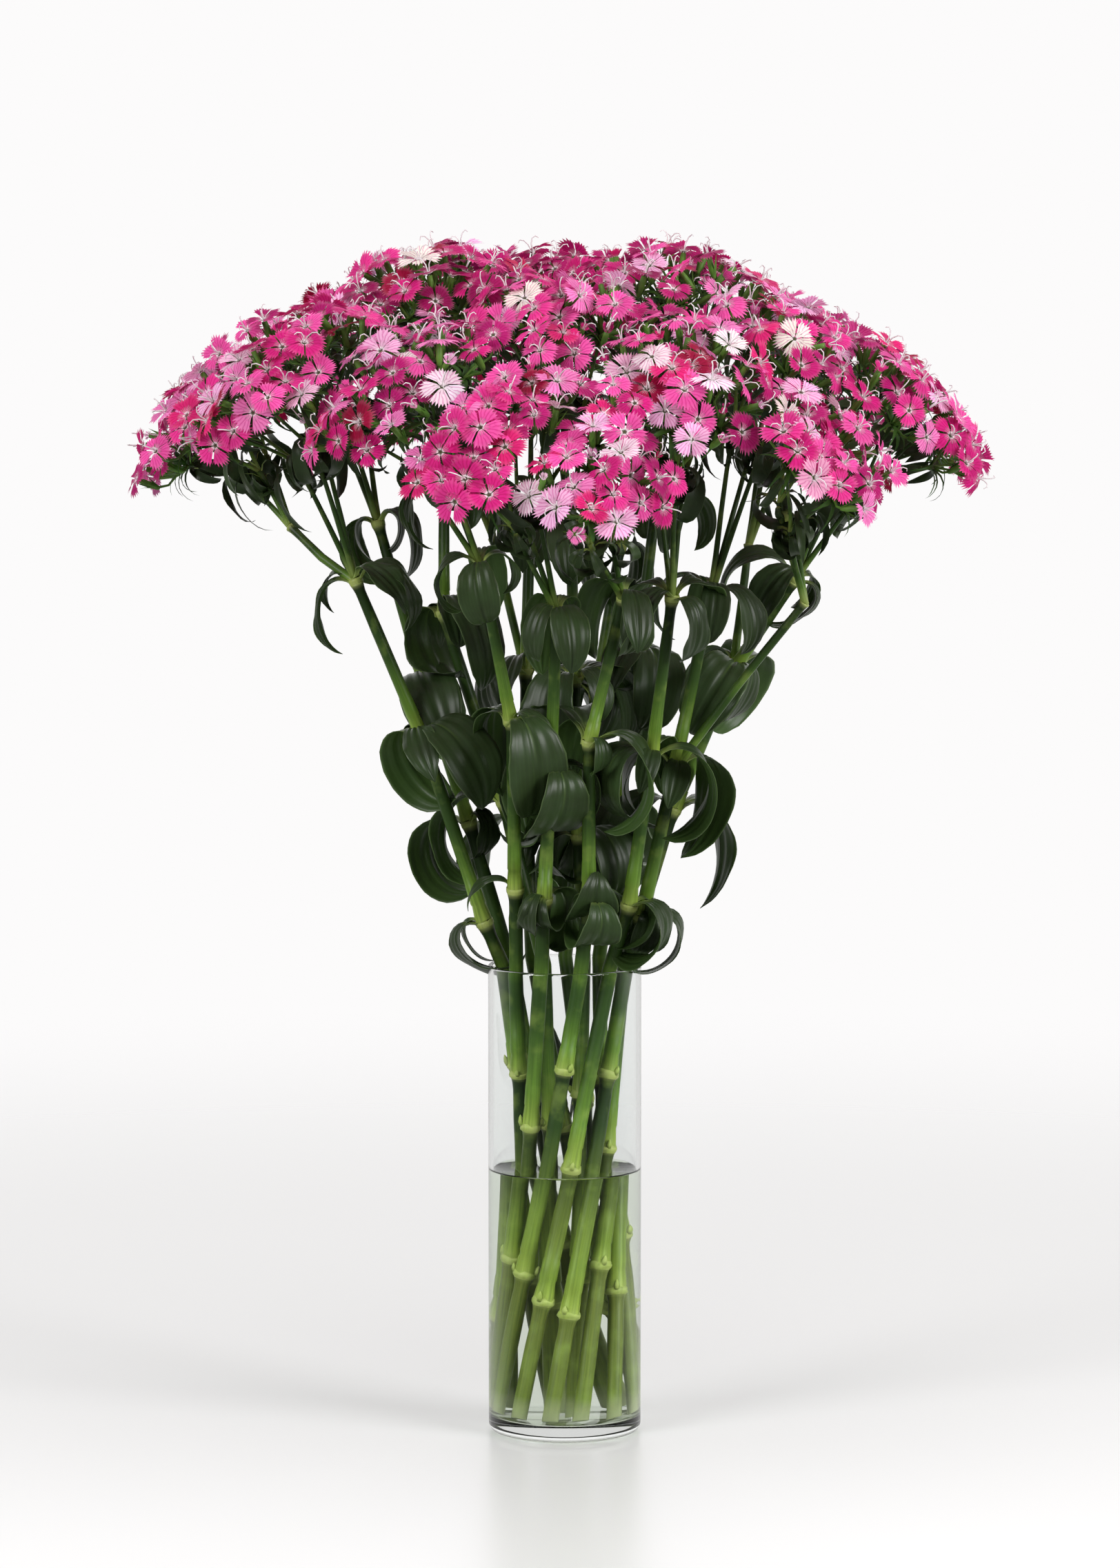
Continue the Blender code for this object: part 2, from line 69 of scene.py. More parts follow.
# foot x, y; rim x, y; swellings inside the vase by height; knots above the rim with the leaf pair's kind
STEMS = {
    "stem_01": ((-2.2, 37.3), (-39.1, -4.5), (96, 234),
                ((-50, -9, 326), (-89, -25, 446), (-130, -35, 545)),
                ((-130, -35, 545), (-152, -24, 560), (-172, -8, 578))),
    "stem_02": ((18.0, 32.8), (-35.2, 17.3), (118, 214),
                ((-60, 24, 385), (-88, 31, 470), (-118, 42, 575)), ()),
    "stem_03": ((-3.9, 13.5), (-13.0, -5.0), (82, 196),
                ((-38, -3, 402), (-76, -8, 522), (-76, 8, 600)), ()),
    "stem_04": ((-22.2, 30.1), (-30.5, -24.5), (70, 231),
                ((-31, -35, 350), (-33, -60, 459), (-52, -86, 559)), ()),
    "stem_05": ((-33.0, 13.2), (-14.8, -36.5), (112, 198),
                ((-13, -45, 345), (-9, -60, 425), (-5, -85, 530)), ()),
    "stem_06": ((-36.8, -6.9), (10.0, -38.0), (104, 236),
                ((15, -48, 344), (15, -70, 447), (36, -91, 539)), ()),
    "stem_07": ((-26.8, -26.1), (28.0, -27.6), (88, 172),
                ((40, -36, 340), (54, -55, 437), (66, -84, 538)), ()),
    "stem_08": ((-8.8, -36.3), (38.3, -9.3), (80, 231),
                ((48, -14, 330), (69, -30, 428), (91, -43, 538)),
                ((69, -30, 428), (108, -46, 482), (149, -62, 535))),
    "stem_09": ((9.1, -32.0), (38.2, 9.7), (110, 182),
                ((68, 12, 395), (106, 15, 485), (144, 0, 543)),
                ((106, 15, 485), (112, 34, 525), (117, 50, 562))),
    "stem_10": ((28.6, -23.7), (22.0, 32.0), (92, 222),
                ((34, 35, 390), (46, 37, 490), (58, 38, 590)), ()),
    "stem_11": ((37.2, -3.9), (0.3, 38.8), (124, 205),
                ((10, 55, 375), (20, 72, 462), (35, 92, 555)), ()),
    "stem_12": ((33.1, 17.4), (-20.7, 33.2), (76, 190),
                ((-24, 46, 380), (-25, 62, 478), (-22, 78, 580)),
                ((-25, 62, 478), (-36, 84, 522), (-46, 104, 562))),
    "stem_13": ((5.1, -13.0), (12.0, 6.0), (100, 216),
                ((9, -2, 380), (6, -8, 480), (4, -12, 575)), ()),
}

# Each leaf by stem: knot (0 is the first above the rim), azimuth, length, width, turn of the curl, drift
LEAVES = {
    "stem_01": ((0, 190.2, 80.3, 29.3, 236.5, 0.10), (1, 308.4, 81.0, 33.0, 220.1, 0.02),
                (1, 128.4, 78.7, 28.6, 252.0, -0.09), (2, 356.1, 51.0, 15.6, 213.1, -0.12),
                (2, 176.1, 48.8, 15.4, 189.7, -0.03)),
    "stem_02": ((0, 151.2, 82.3, 28.7, 233.8, 0.08), (0, 349.2, 77.4, 33.2, 249.2, 0.12),
                (1, 275.3, 82.9, 30.3, 209.9, 0.05), (1, 95.3, 76.8, 29.7, 204.7, -0.07),
                (2, 326.8, 52.2, 16.2, 234.4, -0.12), (2, 146.8, 47.6, 14.1, 229.4, -0.06)),
    "stem_03": ((0, 171.1, 84.1, 31.1, 200.8, 0.05), (0, 351.1, 75.6, 32.8, 270.2, 0.12),
                (1, 300.8, 84.7, 28.5, 251.4, 0.08), (1, 120.8, 75.1, 32.5, 227.0, -0.04),
                (2, 346.8, 53.2, 15.2, 189.2, -0.12), (2, 166.8, 46.6, 14.0, 219.7, -0.09)),
    "stem_04": ((1, 294.4, 85.7, 33.4, 250.7, 0.02), (1, 114.4, 74.1, 29.9, 213.4, 0.11),
                (2, 81.7, 53.8, 14.5, 193.3, 0.10), (2, 261.7, 46.0, 16.1, 231.6, 0.0)),
    "stem_05": ((0, 253.7, 86.5, 28.8, 243.2, -0.10), (0, 73.7, 73.3, 31.5, 202.9, -0.11),
                (1, 292.8, 86.9, 32.4, 265.6, -0.02), (1, 112.8, 72.9, 28.5, 250.3, 0.09),
                (2, 105.7, 54.5, 15.9, 220.7, 0.12), (2, 285.7, 45.4, 15.0, 189.3, 0.03)),
    "stem_06": ((0, 294.1, 87.5, 29.1, 225.9, -0.08), (0, 96.1, 72.4, 33.5, 314.5, -0.12),
                (1, 347.4, 87.7, 29.6, 217.2, -0.05), (1, 113.4, 72.2, 30.4, 150.3, 0.07),
                (2, 125.4, 54.9, 16.1, 228.5, 0.12), (2, 305.4, 45.1, 13.9, 235.1, 0.06)),
    "stem_07": ((0, 331.2, 87.9, 31.9, 205.4, -0.05), (1, 1.7, 88.0, 28.6, 248.7, -0.08),
                (1, 199.7, 72.0, 33.1, 293.6, 0.04), (2, 135.6, 55.0, 14.8, 190.0, 0.12),
                (2, 315.6, 45.0, 14.2, 212.0, 0.09)),
    "stem_08": ((0, 2.4, 87.9, 33.5, 252.0, -0.02), (0, 146.4, 72.1, 29.3, 276.4, -0.11),
                (1, 43.6, 87.8, 30.9, 199.0, -0.10), (1, 169.6, 72.3, 32.9, 235.6, 0.0),
                (2, 155.2, 54.8, 13.8, 237.2, 0.10), (2, 335.2, 45.3, 15.6, 199.2, 0.11)),
    "stem_09": ((0, 32.6, 87.4, 31.7, 206.0, 0.02), (0, 212.6, 72.7, 28.8, 246.5, -0.09),
                (1, 78.8, 87.1, 33.3, 238.5, -0.11), (1, 258.8, 73.0, 30.2, 200.1, -0.03),
                (2, 173.4, 54.3, 14.4, 208.3, 0.08), (2, 353.4, 45.9, 16.2, 240.6, 0.12)),
    "stem_10": ((0, 70.5, 86.4, 29.0, 225.2, 0.05), (0, 232.5, 73.8, 31.3, 247.8, -0.07),
                (1, 114.8, 86.0, 32.7, 289.7, -0.12), (1, 294.8, 74.2, 28.5, 250.1, -0.06),
                (2, 200.2, 53.5, 15.8, 202.4, 0.05), (2, 20.2, 46.7, 15.1, 194.3, 0.12)),
    "stem_11": ((0, 104.5, 85.1, 29.0, 243.8, 0.08), (0, 266.5, 75.2, 33.4, 302.3, -0.04),
                (1, 156.9, 84.5, 29.8, 201.9, -0.12), (1, 30.9, 75.7, 30.2, 214.1, -0.09),
                (2, 230.7, 52.5, 16.1, 239.8, 0.02), (2, 50.7, 47.7, 13.9, 219.0, 0.11)),
    "stem_12": ((0, 140.6, 83.4, 31.7, 198.0, 0.10), (0, 356.6, 55.4, 23.3, 284.7, 0.0),
                (1, 201.3, 82.8, 28.6, 251.3, -0.10), (1, 39.3, 77.5, 32.9, 161.6, -0.11),
                (2, 263.3, 51.3, 14.9, 192.2, -0.01), (2, 83.3, 48.9, 14.1, 230.0, 0.09)),
    "stem_13": ((0, 312.8, 70.1, 28.8, 244.8, 0.11), (0, 186.8, 56.8, 21.2, 255.3, 0.03),
                (1, 43.2, 80.8, 30.6, 210.6, -0.08), (1, 241.2, 79.5, 33.1, 187.1, -0.12),
                (2, 83.8, 50.1, 13.8, 222.8, -0.05), (2, 263.8, 50.1, 15.5, 189.6, 0.07)),
}

# stem, its fork (0 the stem, 1 its side shoot), tip x, y, z, tilt and half-angle
HEADS = {
    "head_01": ("stem_01", 1, (-243, 15, 664), 47, 31),
    "head_02": ("stem_01", 0, (-200, -62, 700), 36, 45),
    "head_03": ("stem_02", 0, (-172, 95, 706), 36, 44),
    "head_04": ("stem_03", 0, (-88, 35, 752), 12, 44),
    "head_05": ("stem_04", 0, (-112, -112, 696), 34, 42),
    "head_06": ("stem_05", 0, (-45, -165, 664), 40, 38),
    "head_07": ("stem_06", 0, (18, -188, 640), 46, 34),
    "head_08": ("stem_07", 0, (88, -120, 698), 32, 40),
    "head_09": ("stem_08", 0, (148, -30, 716), 26, 40),
    "head_10": ("stem_08", 1, (170, -118, 650), 46, 32),
    "head_11": ("stem_09", 0, (230, 0, 674), 42, 40),
    "head_12": ("stem_09", 1, (172, 100, 700), 36, 44),
    "head_13": ("stem_10", 0, (80, 40, 752), 12, 44),
    "head_14": ("stem_11", 0, (85, 165, 696), 36, 44),
    "head_15": ("stem_12", 0, (-10, 120, 742), 18, 42),
    "head_16": ("stem_12", 1, (-85, 180, 692), 36, 44),
    "head_17": ("stem_13", 0, (0, -45, 736), 8, 44),
}
# Leaves that were left on inside the neck of the vase, at a stalk's upper knot there: their azimuths
NECK_LEAVES = {"stem_02": (20.0, 200.0), "stem_11": (150.0, 320.0), "stem_12": (10.0, 190.0)}
HEAD_CURVE = 95.0
PLATE_DEPTH = 60.0

# How many degrees further than its solid's half-angle each head's blooms reach, where it isn't 8
SPREAD = {
    "head_01": 10, "head_04": 12, "head_06": 5, "head_07": 3, "head_10": 5, "head_13": 12, "head_17": 14,
}
# Petal colours of the mixed bunch and how many blooms in a hundred have each
PETALS = (
    ("#F458AC", 23), ("#E83894", 20), ("#D41E7E", 16), ("#B4186E", 9), ("#F886C6", 13),
    ("#FCBCE2", 10), ("#E02276", 4), ("#A0063C", 2), ("#FDE2EE", 3),
)
# The stems at the back and top have deeper blooms, partly a deeper sort and partly painted shade on the back of the
# bunch: half of their blooms come from this table
DEEP_AND_SHADED_PETALS = (("#B8156C", 5), ("#A00F5C", 4), ("#CE1876", 4), ("#BE1250", 2))
DEEP_AND_SHADED_HEADS = ("head_03", "head_04", "head_12", "head_13", "head_14", "head_15", "head_16")
# Single blooms that catch the eye from the front: x and z in the plane of the vase's axis, colour
MARKED = (
    (-91, 741, "#F7F1E4"), (-102, 694, "#F6E6E4"), (-23, 721, "#F5EEE2"), (-15, 733, "#F6F0E4"),
    (32, 738, "#F4EBE2"), (52, 691, "#F7E4EA"), (99, 696, "#FAF6EE"), (143, 697, "#F8F4E6"),
    (133, 648, "#F5E9E0"), (-89, 753, "#9C063A"), (-148, 696, "#A2063C"), (-138, 711, "#9E063A"),
    (87, 689, "#A40840"), (55, 673, "#B00A48"), (128, 731, "#9C063C"), (213, 687, "#A2083E"),
    (-206, 684, "#F4C4DC"), (-172, 667, "#F5C6DE"), (1, 680, "#F5C0DA"), (36, 676, "#F6BEDA"),
    (-10, 662, "#F5CCDC"), (-98, 649, "#F2A9CE"), (239, 664, "#F3B8D4"), (140, 604, "#F2AACB"),
)


def linear(hex_colour):
    """sRGB hex to the linear values that Blender's shaders take."""
    values = [int(hex_colour[i:i + 2], 16) / 255 for i in (1, 3, 5)]
    return tuple(v / 12.92 if v <= 0.04045 else ((v + 0.055) / 1.055) ** 2.4 for v in values)


# Sizes and colours a user would change

def length(name, description, default):
    return bpy.props.FloatProperty(
        name=name, description=description, default=default, unit="LENGTH", subtype="DISTANCE", precision=4
    )


def colour(name, description, hex_colour):
    return bpy.props.FloatVectorProperty(
        name=name, description=description, default=linear(hex_colour), subtype="COLOR", size=3,
        min=0.0, max=1.0,
    )


class VaseSettings(bpy.types.PropertyGroup):
    height: length("Height", "Height of the glass vase", VASE_TOP.z)
    radius: length("Radius", "Outer radius of the glass vase", VASE_TOP.x)
    wall: length("Wall", "Thickness of the glass wall", 0.003)
    floor: length("Floor", "Thickness of the glass floor", 0.011)
    heel: length("Heel", "Rounding of the outer lower edge", 0.0065)
    water: length("Water level", "Height of the water surface over the ground", WATER_TOP.z)


class StalkSettings(bpy.types.PropertyGroup):
    foot: length("Foot radius", "Radius of a stalk at its cut foot", 0.005)
    fork: length("Fork radius", "Radius of a stalk where it forks", 0.0035)
    young: colour("Young green", "Stalk just above a knot", "#9BB24A")
    ripe: colour("Ripe green", "Stalk below the next knot", "#35501E")
    knot: colour("Knot", "Pale collar at a knot", "#AEB76E")


class LeafSettings(bpy.types.PropertyGroup):
    upper: colour("Upper side", "Upper side of a leaf", "#2B3A1D")
    under: colour("Underside", "Underside of a leaf", "#3B5424")
    base: colour("Base", "Pale base that clasps the stalk", "#A3B860")
    thickness: length("Thickness", "Thickness of a leaf", 0.0006)


class BloomSettings(bpy.types.PropertyGroup):
    radius: length("Radius", "Radius of an open bloom", 0.0134)
    spacing: length("Spacing", "Distance between neighbouring blooms", 0.0158)
    calyx: length("Calyx", "Length of the green tube under a bloom", 0.016)
    green: colour("Calyx green", "Calyx tubes, bloom stalks and bracts", "#5E8636")
    style: colour("Styles", "The two curled white styles of a bloom", "#F8F4F2")


class StageSettings(bpy.types.PropertyGroup):
    floor: colour("Floor", "Studio floor", "#E9E8E8")
    sky: colour("Background", "Studio background", "#FCFBFB")
    reach: length("Floor radius", "Radius of the studio floor", 3.0)


# Small helpers

def add_node(tree, kind, settings=None, links=None):
    """One node with its settings and its links; a whole number as a key picks a socket by its place.

    A link comes from an output, or from a node's first output in use; "stops" are a ramp's places and colours.
    """
    node = tree.nodes.new(kind)
    for key, value in (settings or {}).items():
        if key == "stops":
            while len(node.color_ramp.elements) < len(value):
                node.color_ramp.elements.new(0.5)
            for element, (place, shade) in zip(node.color_ramp.elements, value):
                element.position, element.color = place, rgba(shade)
        elif isinstance(key, int) or key in node.inputs:
            node.inputs[key].default_value = value
        else:
            setattr(node, key, value)
    for key, source in (links or {}).items():
        if isinstance(source, bpy.types.Node):
            source = next(output for output in source.outputs if output.enabled)
        tree.links.new(source, node.inputs[key])
    return node


def new_material(name):
    made = bpy.data.materials.new(name)
    made.use_nodes = True
    tree = made.node_tree
    for node in list(tree.nodes):
        tree.nodes.remove(node)
    return made, tree


def rgba(values):
    return (*values[:3], 1.0)


def deselect():
    if bpy.context.object and bpy.context.object.mode != "OBJECT":
        bpy.ops.object.mode_set(mode="OBJECT")
    bpy.ops.object.select_all(action="DESELECT")


class Gather:
    """Points and faces of many like forms, with a UV and a tint for every point, made into one mesh."""

    def __init__(self):
        self.points, self.faces, self.uvs, self.tints, self.count = [], [], [], [], 0

    def add(self, points, faces, uvs=None, tint=(1.0, 1.0, 1.0)):
        points = np.asarray(points, float)
        many = len(points)
        self.points.append(points)
        self.faces += [[i + self.count for i in face] for face in faces]
        self.uvs.append(np.zeros((many, 2)) if uvs is None else np.asarray(uvs, float))
        tint = np.asarray(tint, float)
        self.tints.append(np.broadcast_to(tint, (many, 3)) if tint.ndim == 1 else tint)
        self.count += many

    def build(self, name):
        points = np.concatenate(self.points) * MM
        uvs, tints = np.concatenate(self.uvs), np.concatenate(self.tints)
        mesh = bpy.data.meshes.new(name)
        mesh.from_pydata(points.tolist(), [], self.faces)
        corner = np.empty(len(mesh.loops), np.int32)
        mesh.loops.foreach_get("vertex_index", corner)
        layer = mesh.uv_layers.new(name="Along")
        layer.data.foreach_set("uv", uvs[corner].astype(np.float32).ravel())
        shade = mesh.color_attributes.new("tint", "FLOAT_COLOR", "POINT")
        shade.data.foreach_set("color", np.c_[tints, np.ones(len(tints))].astype(np.float32).ravel())
        mesh.polygons.foreach_set("use_smooth", np.ones(len(mesh.polygons), bool))
        mesh.update()
        made = bpy.data.objects.new(name, mesh)
        bpy.context.scene.collection.objects.link(made)
        return made


def unit(v):
    v = np.asarray(v, float)
    return v / max(1e-9, math.sqrt(float(v @ v)))


def across(axis):
    """Two directions square to an axis."""
    axis = unit(axis)
    side = np.cross(axis, (0.0, 0.0, 1.0))
    side = unit(side) if np.linalg.norm(side) > 1e-3 else np.array((1.0, 0.0, 0.0))
    return side, np.cross(axis, side)


def sweep(path, radii, sides, closed_ends=True, slant=0.0):
    """Points, faces, and distance along for a round stalk through the path, wound so faces point out."""
    path = [np.asarray(p, float) for p in path]
    tangents = [unit(path[min(i + 1, len(path) - 1)] - path[max(i - 1, 0)]) for i in range(len(path))]
    side, _ = across(tangents[0])
    points, along, total = [], [], 0.0
    turns = [2 * math.pi * k / sides for k in range(sides)]
    for i, (here, way) in enumerate(zip(path, tangents)):
        side = unit(side - way * float(side @ way))
        other = np.cross(way, side)
        if i:
            total += float(np.linalg.norm(here - path[i - 1]))
        for t in turns:
            lift = slant * math.cos(t) if i == 0 else 0.0
            points.append(here + (side * math.cos(t) + other * math.sin(t)) * radii[i] + way * lift)
            along.append(total)
    faces = []
    for i in range(len(path) - 1):
        for k in range(sides):
            a, b = i * sides + k, i * sides + (k + 1) % sides
            faces.append((a, b, b + sides, a + sides))
    if closed_ends:
        faces.append(tuple(range(sides - 1, -1, -1)))
        last = (len(path) - 1) * sides
        faces.append(tuple(range(last, last + sides)))
    return np.array(points), faces, np.array(along)


def bent(start, end, leave, arrive, count, reach=0.38):
    """Points of a smooth bend that leaves along one direction and arrives along the other."""
    start, end = np.asarray(start, float), np.asarray(end, float)
    pull = np.linalg.norm(end - start) * reach
    a, b = start + unit(leave) * pull, end - unit(arrive) * pull
    out = []
    for k in range(count):
        t = k / (count - 1)
        s = 1 - t
        out.append(start * s ** 3 + a * (3 * s * s * t) + b * (3 * s * t * t) + end * t ** 3)
    return out


def finish_piece(obj, made, nodes):
    """Gives a piece its material and its body, and hides the imported parts that it stands for."""
    obj.data.materials.clear()
    obj.data.materials.append(made)
    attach(obj, "root")
    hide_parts(*nodes)


# Materials

def through_shadow(tree, shader, out):
    """Lets the studio light through clear glass or water, as it passes in life, instead of a black shadow."""
    path = add_node(tree, "ShaderNodeLightPath")
    clear = add_node(tree, "ShaderNodeBsdfTransparent", {"Color": (0.96, 0.98, 0.97, 1.0)})
    mix = add_node(tree, "ShaderNodeMixShader", None, {0: path.outputs["Is Shadow Ray"], 1: shader, 2: clear})
    tree.links.new(mix.outputs[0], out.inputs["Surface"])


def clear_glass():
    """Soda-lime glass, blown and fire-polished: no colour, hard reflections, dark bent edges."""
    made, tree = new_material("clear_soda_lime_glass_fire_polished")
    out = add_node(tree, "ShaderNodeOutputMaterial")
    place = add_node(tree, "ShaderNodeTexCoord")
    # Slow waves about 70 mm long, as a blown wall has
    slow = add_node(tree, "ShaderNodeTexNoise", {"Scale": 14.0, "Detail": 1.0}, {
        "Vector": place.outputs["Object"]})
    bump = add_node(tree, "ShaderNodeBump", {"Strength": 0.04, "Distance": 0.002}, {"Height": slow})
    shader = add_node(tree, "ShaderNodeBsdfPrincipled", {
        "Base Color": rgba(linear("#FBFDFC")), "Roughness": 0.0, "IOR": 1.5, "Transmission Weight": 1.0},
        {"Normal": bump})
    through_shadow(tree, shader, out)
    return made


def still_water():
    """Tap water, standing: clear, with a breath of green that the stalks lend it."""
    made, tree = new_material("still_clear_water")
    out = add_node(tree, "ShaderNodeOutputMaterial")
    place = add_node(tree, "ShaderNodeTexCoord")
    swell = add_node(tree, "ShaderNodeTexNoise", {"Scale": 40.0, "Detail": 1.0}, {
        "Vector": place.outputs["Object"]})
    bump = add_node(tree, "ShaderNodeBump", {"Strength": 0.03, "Distance": 0.001}, {"Height": swell})
    shader = add_node(tree, "ShaderNodeBsdfPrincipled", {
        "Base Color": rgba(linear("#F4F9EE")), "Roughness": 0.0, "IOR": 1.333,
        "Transmission Weight": 1.0}, {"Normal": bump})
    through_shadow(tree, shader, out)
    return made


def stalk_green(looks):
    """Living stalk, waxy and finely ribbed: yellow-green above each knot, darker towards the next."""
    made, tree = new_material("green_stalk_waxy_ribbed")
    tint = add_node(tree, "ShaderNodeVertexColor", {"layer_name": "tint"})
    parts = add_node(tree, "ShaderNodeSeparateColor", None, {0: tint})
    grown = add_node(tree, "ShaderNodeValToRGB", {"stops": (
        (0.0, looks.young), (0.2, linear("#668A2E")), (0.52, looks.ripe), (1.0, linear("#1E2E16")))}, {
        0: parts.outputs[0]})
    place = add_node(tree, "ShaderNodeTexCoord")
    height = add_node(tree, "ShaderNodeSeparateXYZ", None, {0: place.outputs["Object"]})
    # The stalks are paler and yellower towards the bottom, below about 200 mm
    low = add_node(tree, "ShaderNodeMapRange", {
        "From Min": 0.2, "From Max": 0.13, "To Min": 0.0, "To Max": 0.38}, {0: height.outputs[2]})
    pale = add_node(tree, "ShaderNodeMix", {"data_type": "RGBA", 7: rgba(linear("#A2AC4C"))}, {
        0: low, 6: grown})
    # Ribs about 1.3 mm apart round a stalk of 9 mm
    lie = add_node(tree, "ShaderNodeUVMap", {"uv_map": "Along"})
    rib = add_node(tree, "ShaderNodeMapping", {"Scale": (22.0, 0.02, 1.0)}, {0: lie})
    streak = add_node(tree, "ShaderNodeTexNoise", {"Scale": 1.0, "Detail": 3.0}, {"Vector": rib})
    shade = add_node(tree, "ShaderNodeMapRange", {
        "From Min": 0.38, "From Max": 0.7, "To Min": 0.0, "To Max": 0.5}, {0: streak})
    ribbed = add_node(tree, "ShaderNodeMix", {"data_type": "RGBA", 7: rgba(linear("#27400F"))}, {
        0: shade, 6: pale})
    # Blotches some 12 mm long, as sap and age leave them
    blotch = add_node(tree, "ShaderNodeTexNoise", {"Scale": 70.0, "Detail": 3.0}, {
        "Vector": place.outputs["Object"]})
    worn = add_node(tree, "ShaderNodeMapRange", {
        "From Min": 0.52, "From Max": 0.72, "To Min": 0.0, "To Max": 0.35}, {0: blotch})
    patched = add_node(tree, "ShaderNodeMix", {"data_type": "RGBA", 7: rgba(linear("#8CA24A"))}, {
        0: worn, 6: ribbed})
    collar = add_node(tree, "ShaderNodeMix", {"data_type": "RGBA", 7: rgba(looks.knot)}, {
        0: parts.outputs[1], 6: patched})
    cut = add_node(tree, "ShaderNodeMix", {"data_type": "RGBA", 7: rgba(linear("#D9DFB4"))}, {
        0: parts.outputs[2], 6: collar})
    bump = add_node(tree, "ShaderNodeBump", {"Strength": 0.25, "Distance": 0.0004}, {"Height": streak})
    shader = add_node(tree, "ShaderNodeBsdfPrincipled", {
        "Roughness": 0.4, "IOR": 1.42, "Specular IOR Level": 0.4}, {"Base Color": cut, "Normal": bump})
    add_node(tree, "ShaderNodeOutputMaterial", None, {"Surface": shader})
    return made


def leaf_green(looks):
    """Living leaf, leathery and smooth: near-black green with soft long highlights, pale base and midrib."""
    made, tree = new_material("green_leaf_leathery_gloss")
    tint = add_node(tree, "ShaderNodeVertexColor", {"layer_name": "tint"})
    parts = add_node(tree, "ShaderNodeSeparateColor", None, {0: tint})
    lie = add_node(tree, "ShaderNodeUVMap", {"uv_map": "Along"})
    ways = add_node(tree, "ShaderNodeSeparateXYZ", None, {0: lie})
    sides = add_node(tree, "ShaderNodeMix", {
        "data_type": "RGBA", 6: rgba(looks.upper), 7: rgba(looks.under)}, {0: parts.outputs[0]})
    place = add_node(tree, "ShaderNodeTexCoord")
    # Paler clouds some 20 mm across
    cloud = add_node(tree, "ShaderNodeTexNoise", {"Scale": 45.0, "Detail": 3.0}, {
        "Vector": place.outputs["Object"]})
    patch = add_node(tree, "ShaderNodeMapRange", {
        "From Min": 0.38, "From Max": 0.68, "To Min": 0.0, "To Max": 0.55}, {0: cloud})
    body = add_node(tree, "ShaderNodeMix", {"data_type": "RGBA", 7: rgba(linear("#354B28"))}, {
        0: patch, 6: sides})
    # Veins about 1.4 mm apart on a blade 35 mm wide: drawn wider than life, so that they show
    vein = add_node(tree, "ShaderNodeTexWave", {
        "wave_type": "BANDS", "bands_direction": "X", "Scale": 4.0, "Distortion": 0.35, "Detail": 1.0},
        {"Vector": lie})
    thin = add_node(tree, "ShaderNodeMath", {"operation": "POWER", 1: 5.0}, {0: vein.outputs["Fac"]})
    faint = add_node(tree, "ShaderNodeMath", {"operation": "MULTIPLY", 1: 0.06}, {0: thin})
    veined = add_node(tree, "ShaderNodeMix", {"data_type": "RGBA", 7: rgba(linear("#4E7038"))}, {
        0: faint, 6: body})
    off = add_node(tree, "ShaderNodeMath", {"operation": "SUBTRACT", 1: 0.5}, {0: ways.outputs[0]})
    aside = add_node(tree, "ShaderNodeMath", {"operation": "ABSOLUTE"}, {0: off})
    middle = add_node(tree, "ShaderNodeMapRange", {
        "From Min": 0.035, "From Max": 0.008, "To Min": 0.0, "To Max": 1.0}, {0: aside})
    fading = add_node(tree, "ShaderNodeMapRange", {
        "From Min": 0.1, "From Max": 0.5, "To Min": 0.45, "To Max": 0.0}, {0: ways.outputs[1]})
    rib = add_node(tree, "ShaderNodeMath", {"operation": "MULTIPLY"}, {0: middle, 1: fading})
    ribbed = add_node(tree, "ShaderNodeMix", {"data_type": "RGBA", 7: rgba(linear("#6E8C42"))}, {
        0: rib, 6: veined})
    foot = add_node(tree, "ShaderNodeMapRange", {
        "From Min": 0.02, "From Max": 0.2, "To Min": 1.0, "To Max": 0.0,
        "interpolation_type": "SMOOTHSTEP"}, {0: ways.outputs[1]})
    based = add_node(tree, "ShaderNodeMix", {"data_type": "RGBA", 7: rgba(looks.base)}, {
        0: foot, 6: ribbed})
    edge = add_node(tree, "ShaderNodeMapRange", {
        "From Min": 0.47, "From Max": 0.495, "To Min": 0.0, "To Max": 0.4}, {0: aside})
    rimmed = add_node(tree, "ShaderNodeMix", {"data_type": "RGBA", 7: rgba(linear("#6F8355"))}, {
        0: edge, 6: based})
    aged = add_node(tree, "ShaderNodeMix", {"data_type": "RGBA", "blend_type": "MULTIPLY", 0: 1.0}, {
        6: rimmed, 7: parts.outputs[2]})
    bump = add_node(tree, "ShaderNodeBump", {"Strength": 0.04, "Distance": 0.0002}, {
        "Height": vein.outputs["Fac"]})
    shader = add_node(tree, "ShaderNodeBsdfPrincipled", {
        "Roughness": 0.4, "IOR": 1.45, "Specular IOR Level": 0.5}, {"Base Color": aged, "Normal": bump})
    add_node(tree, "ShaderNodeOutputMaterial", None, {"Surface": shader})
    return made


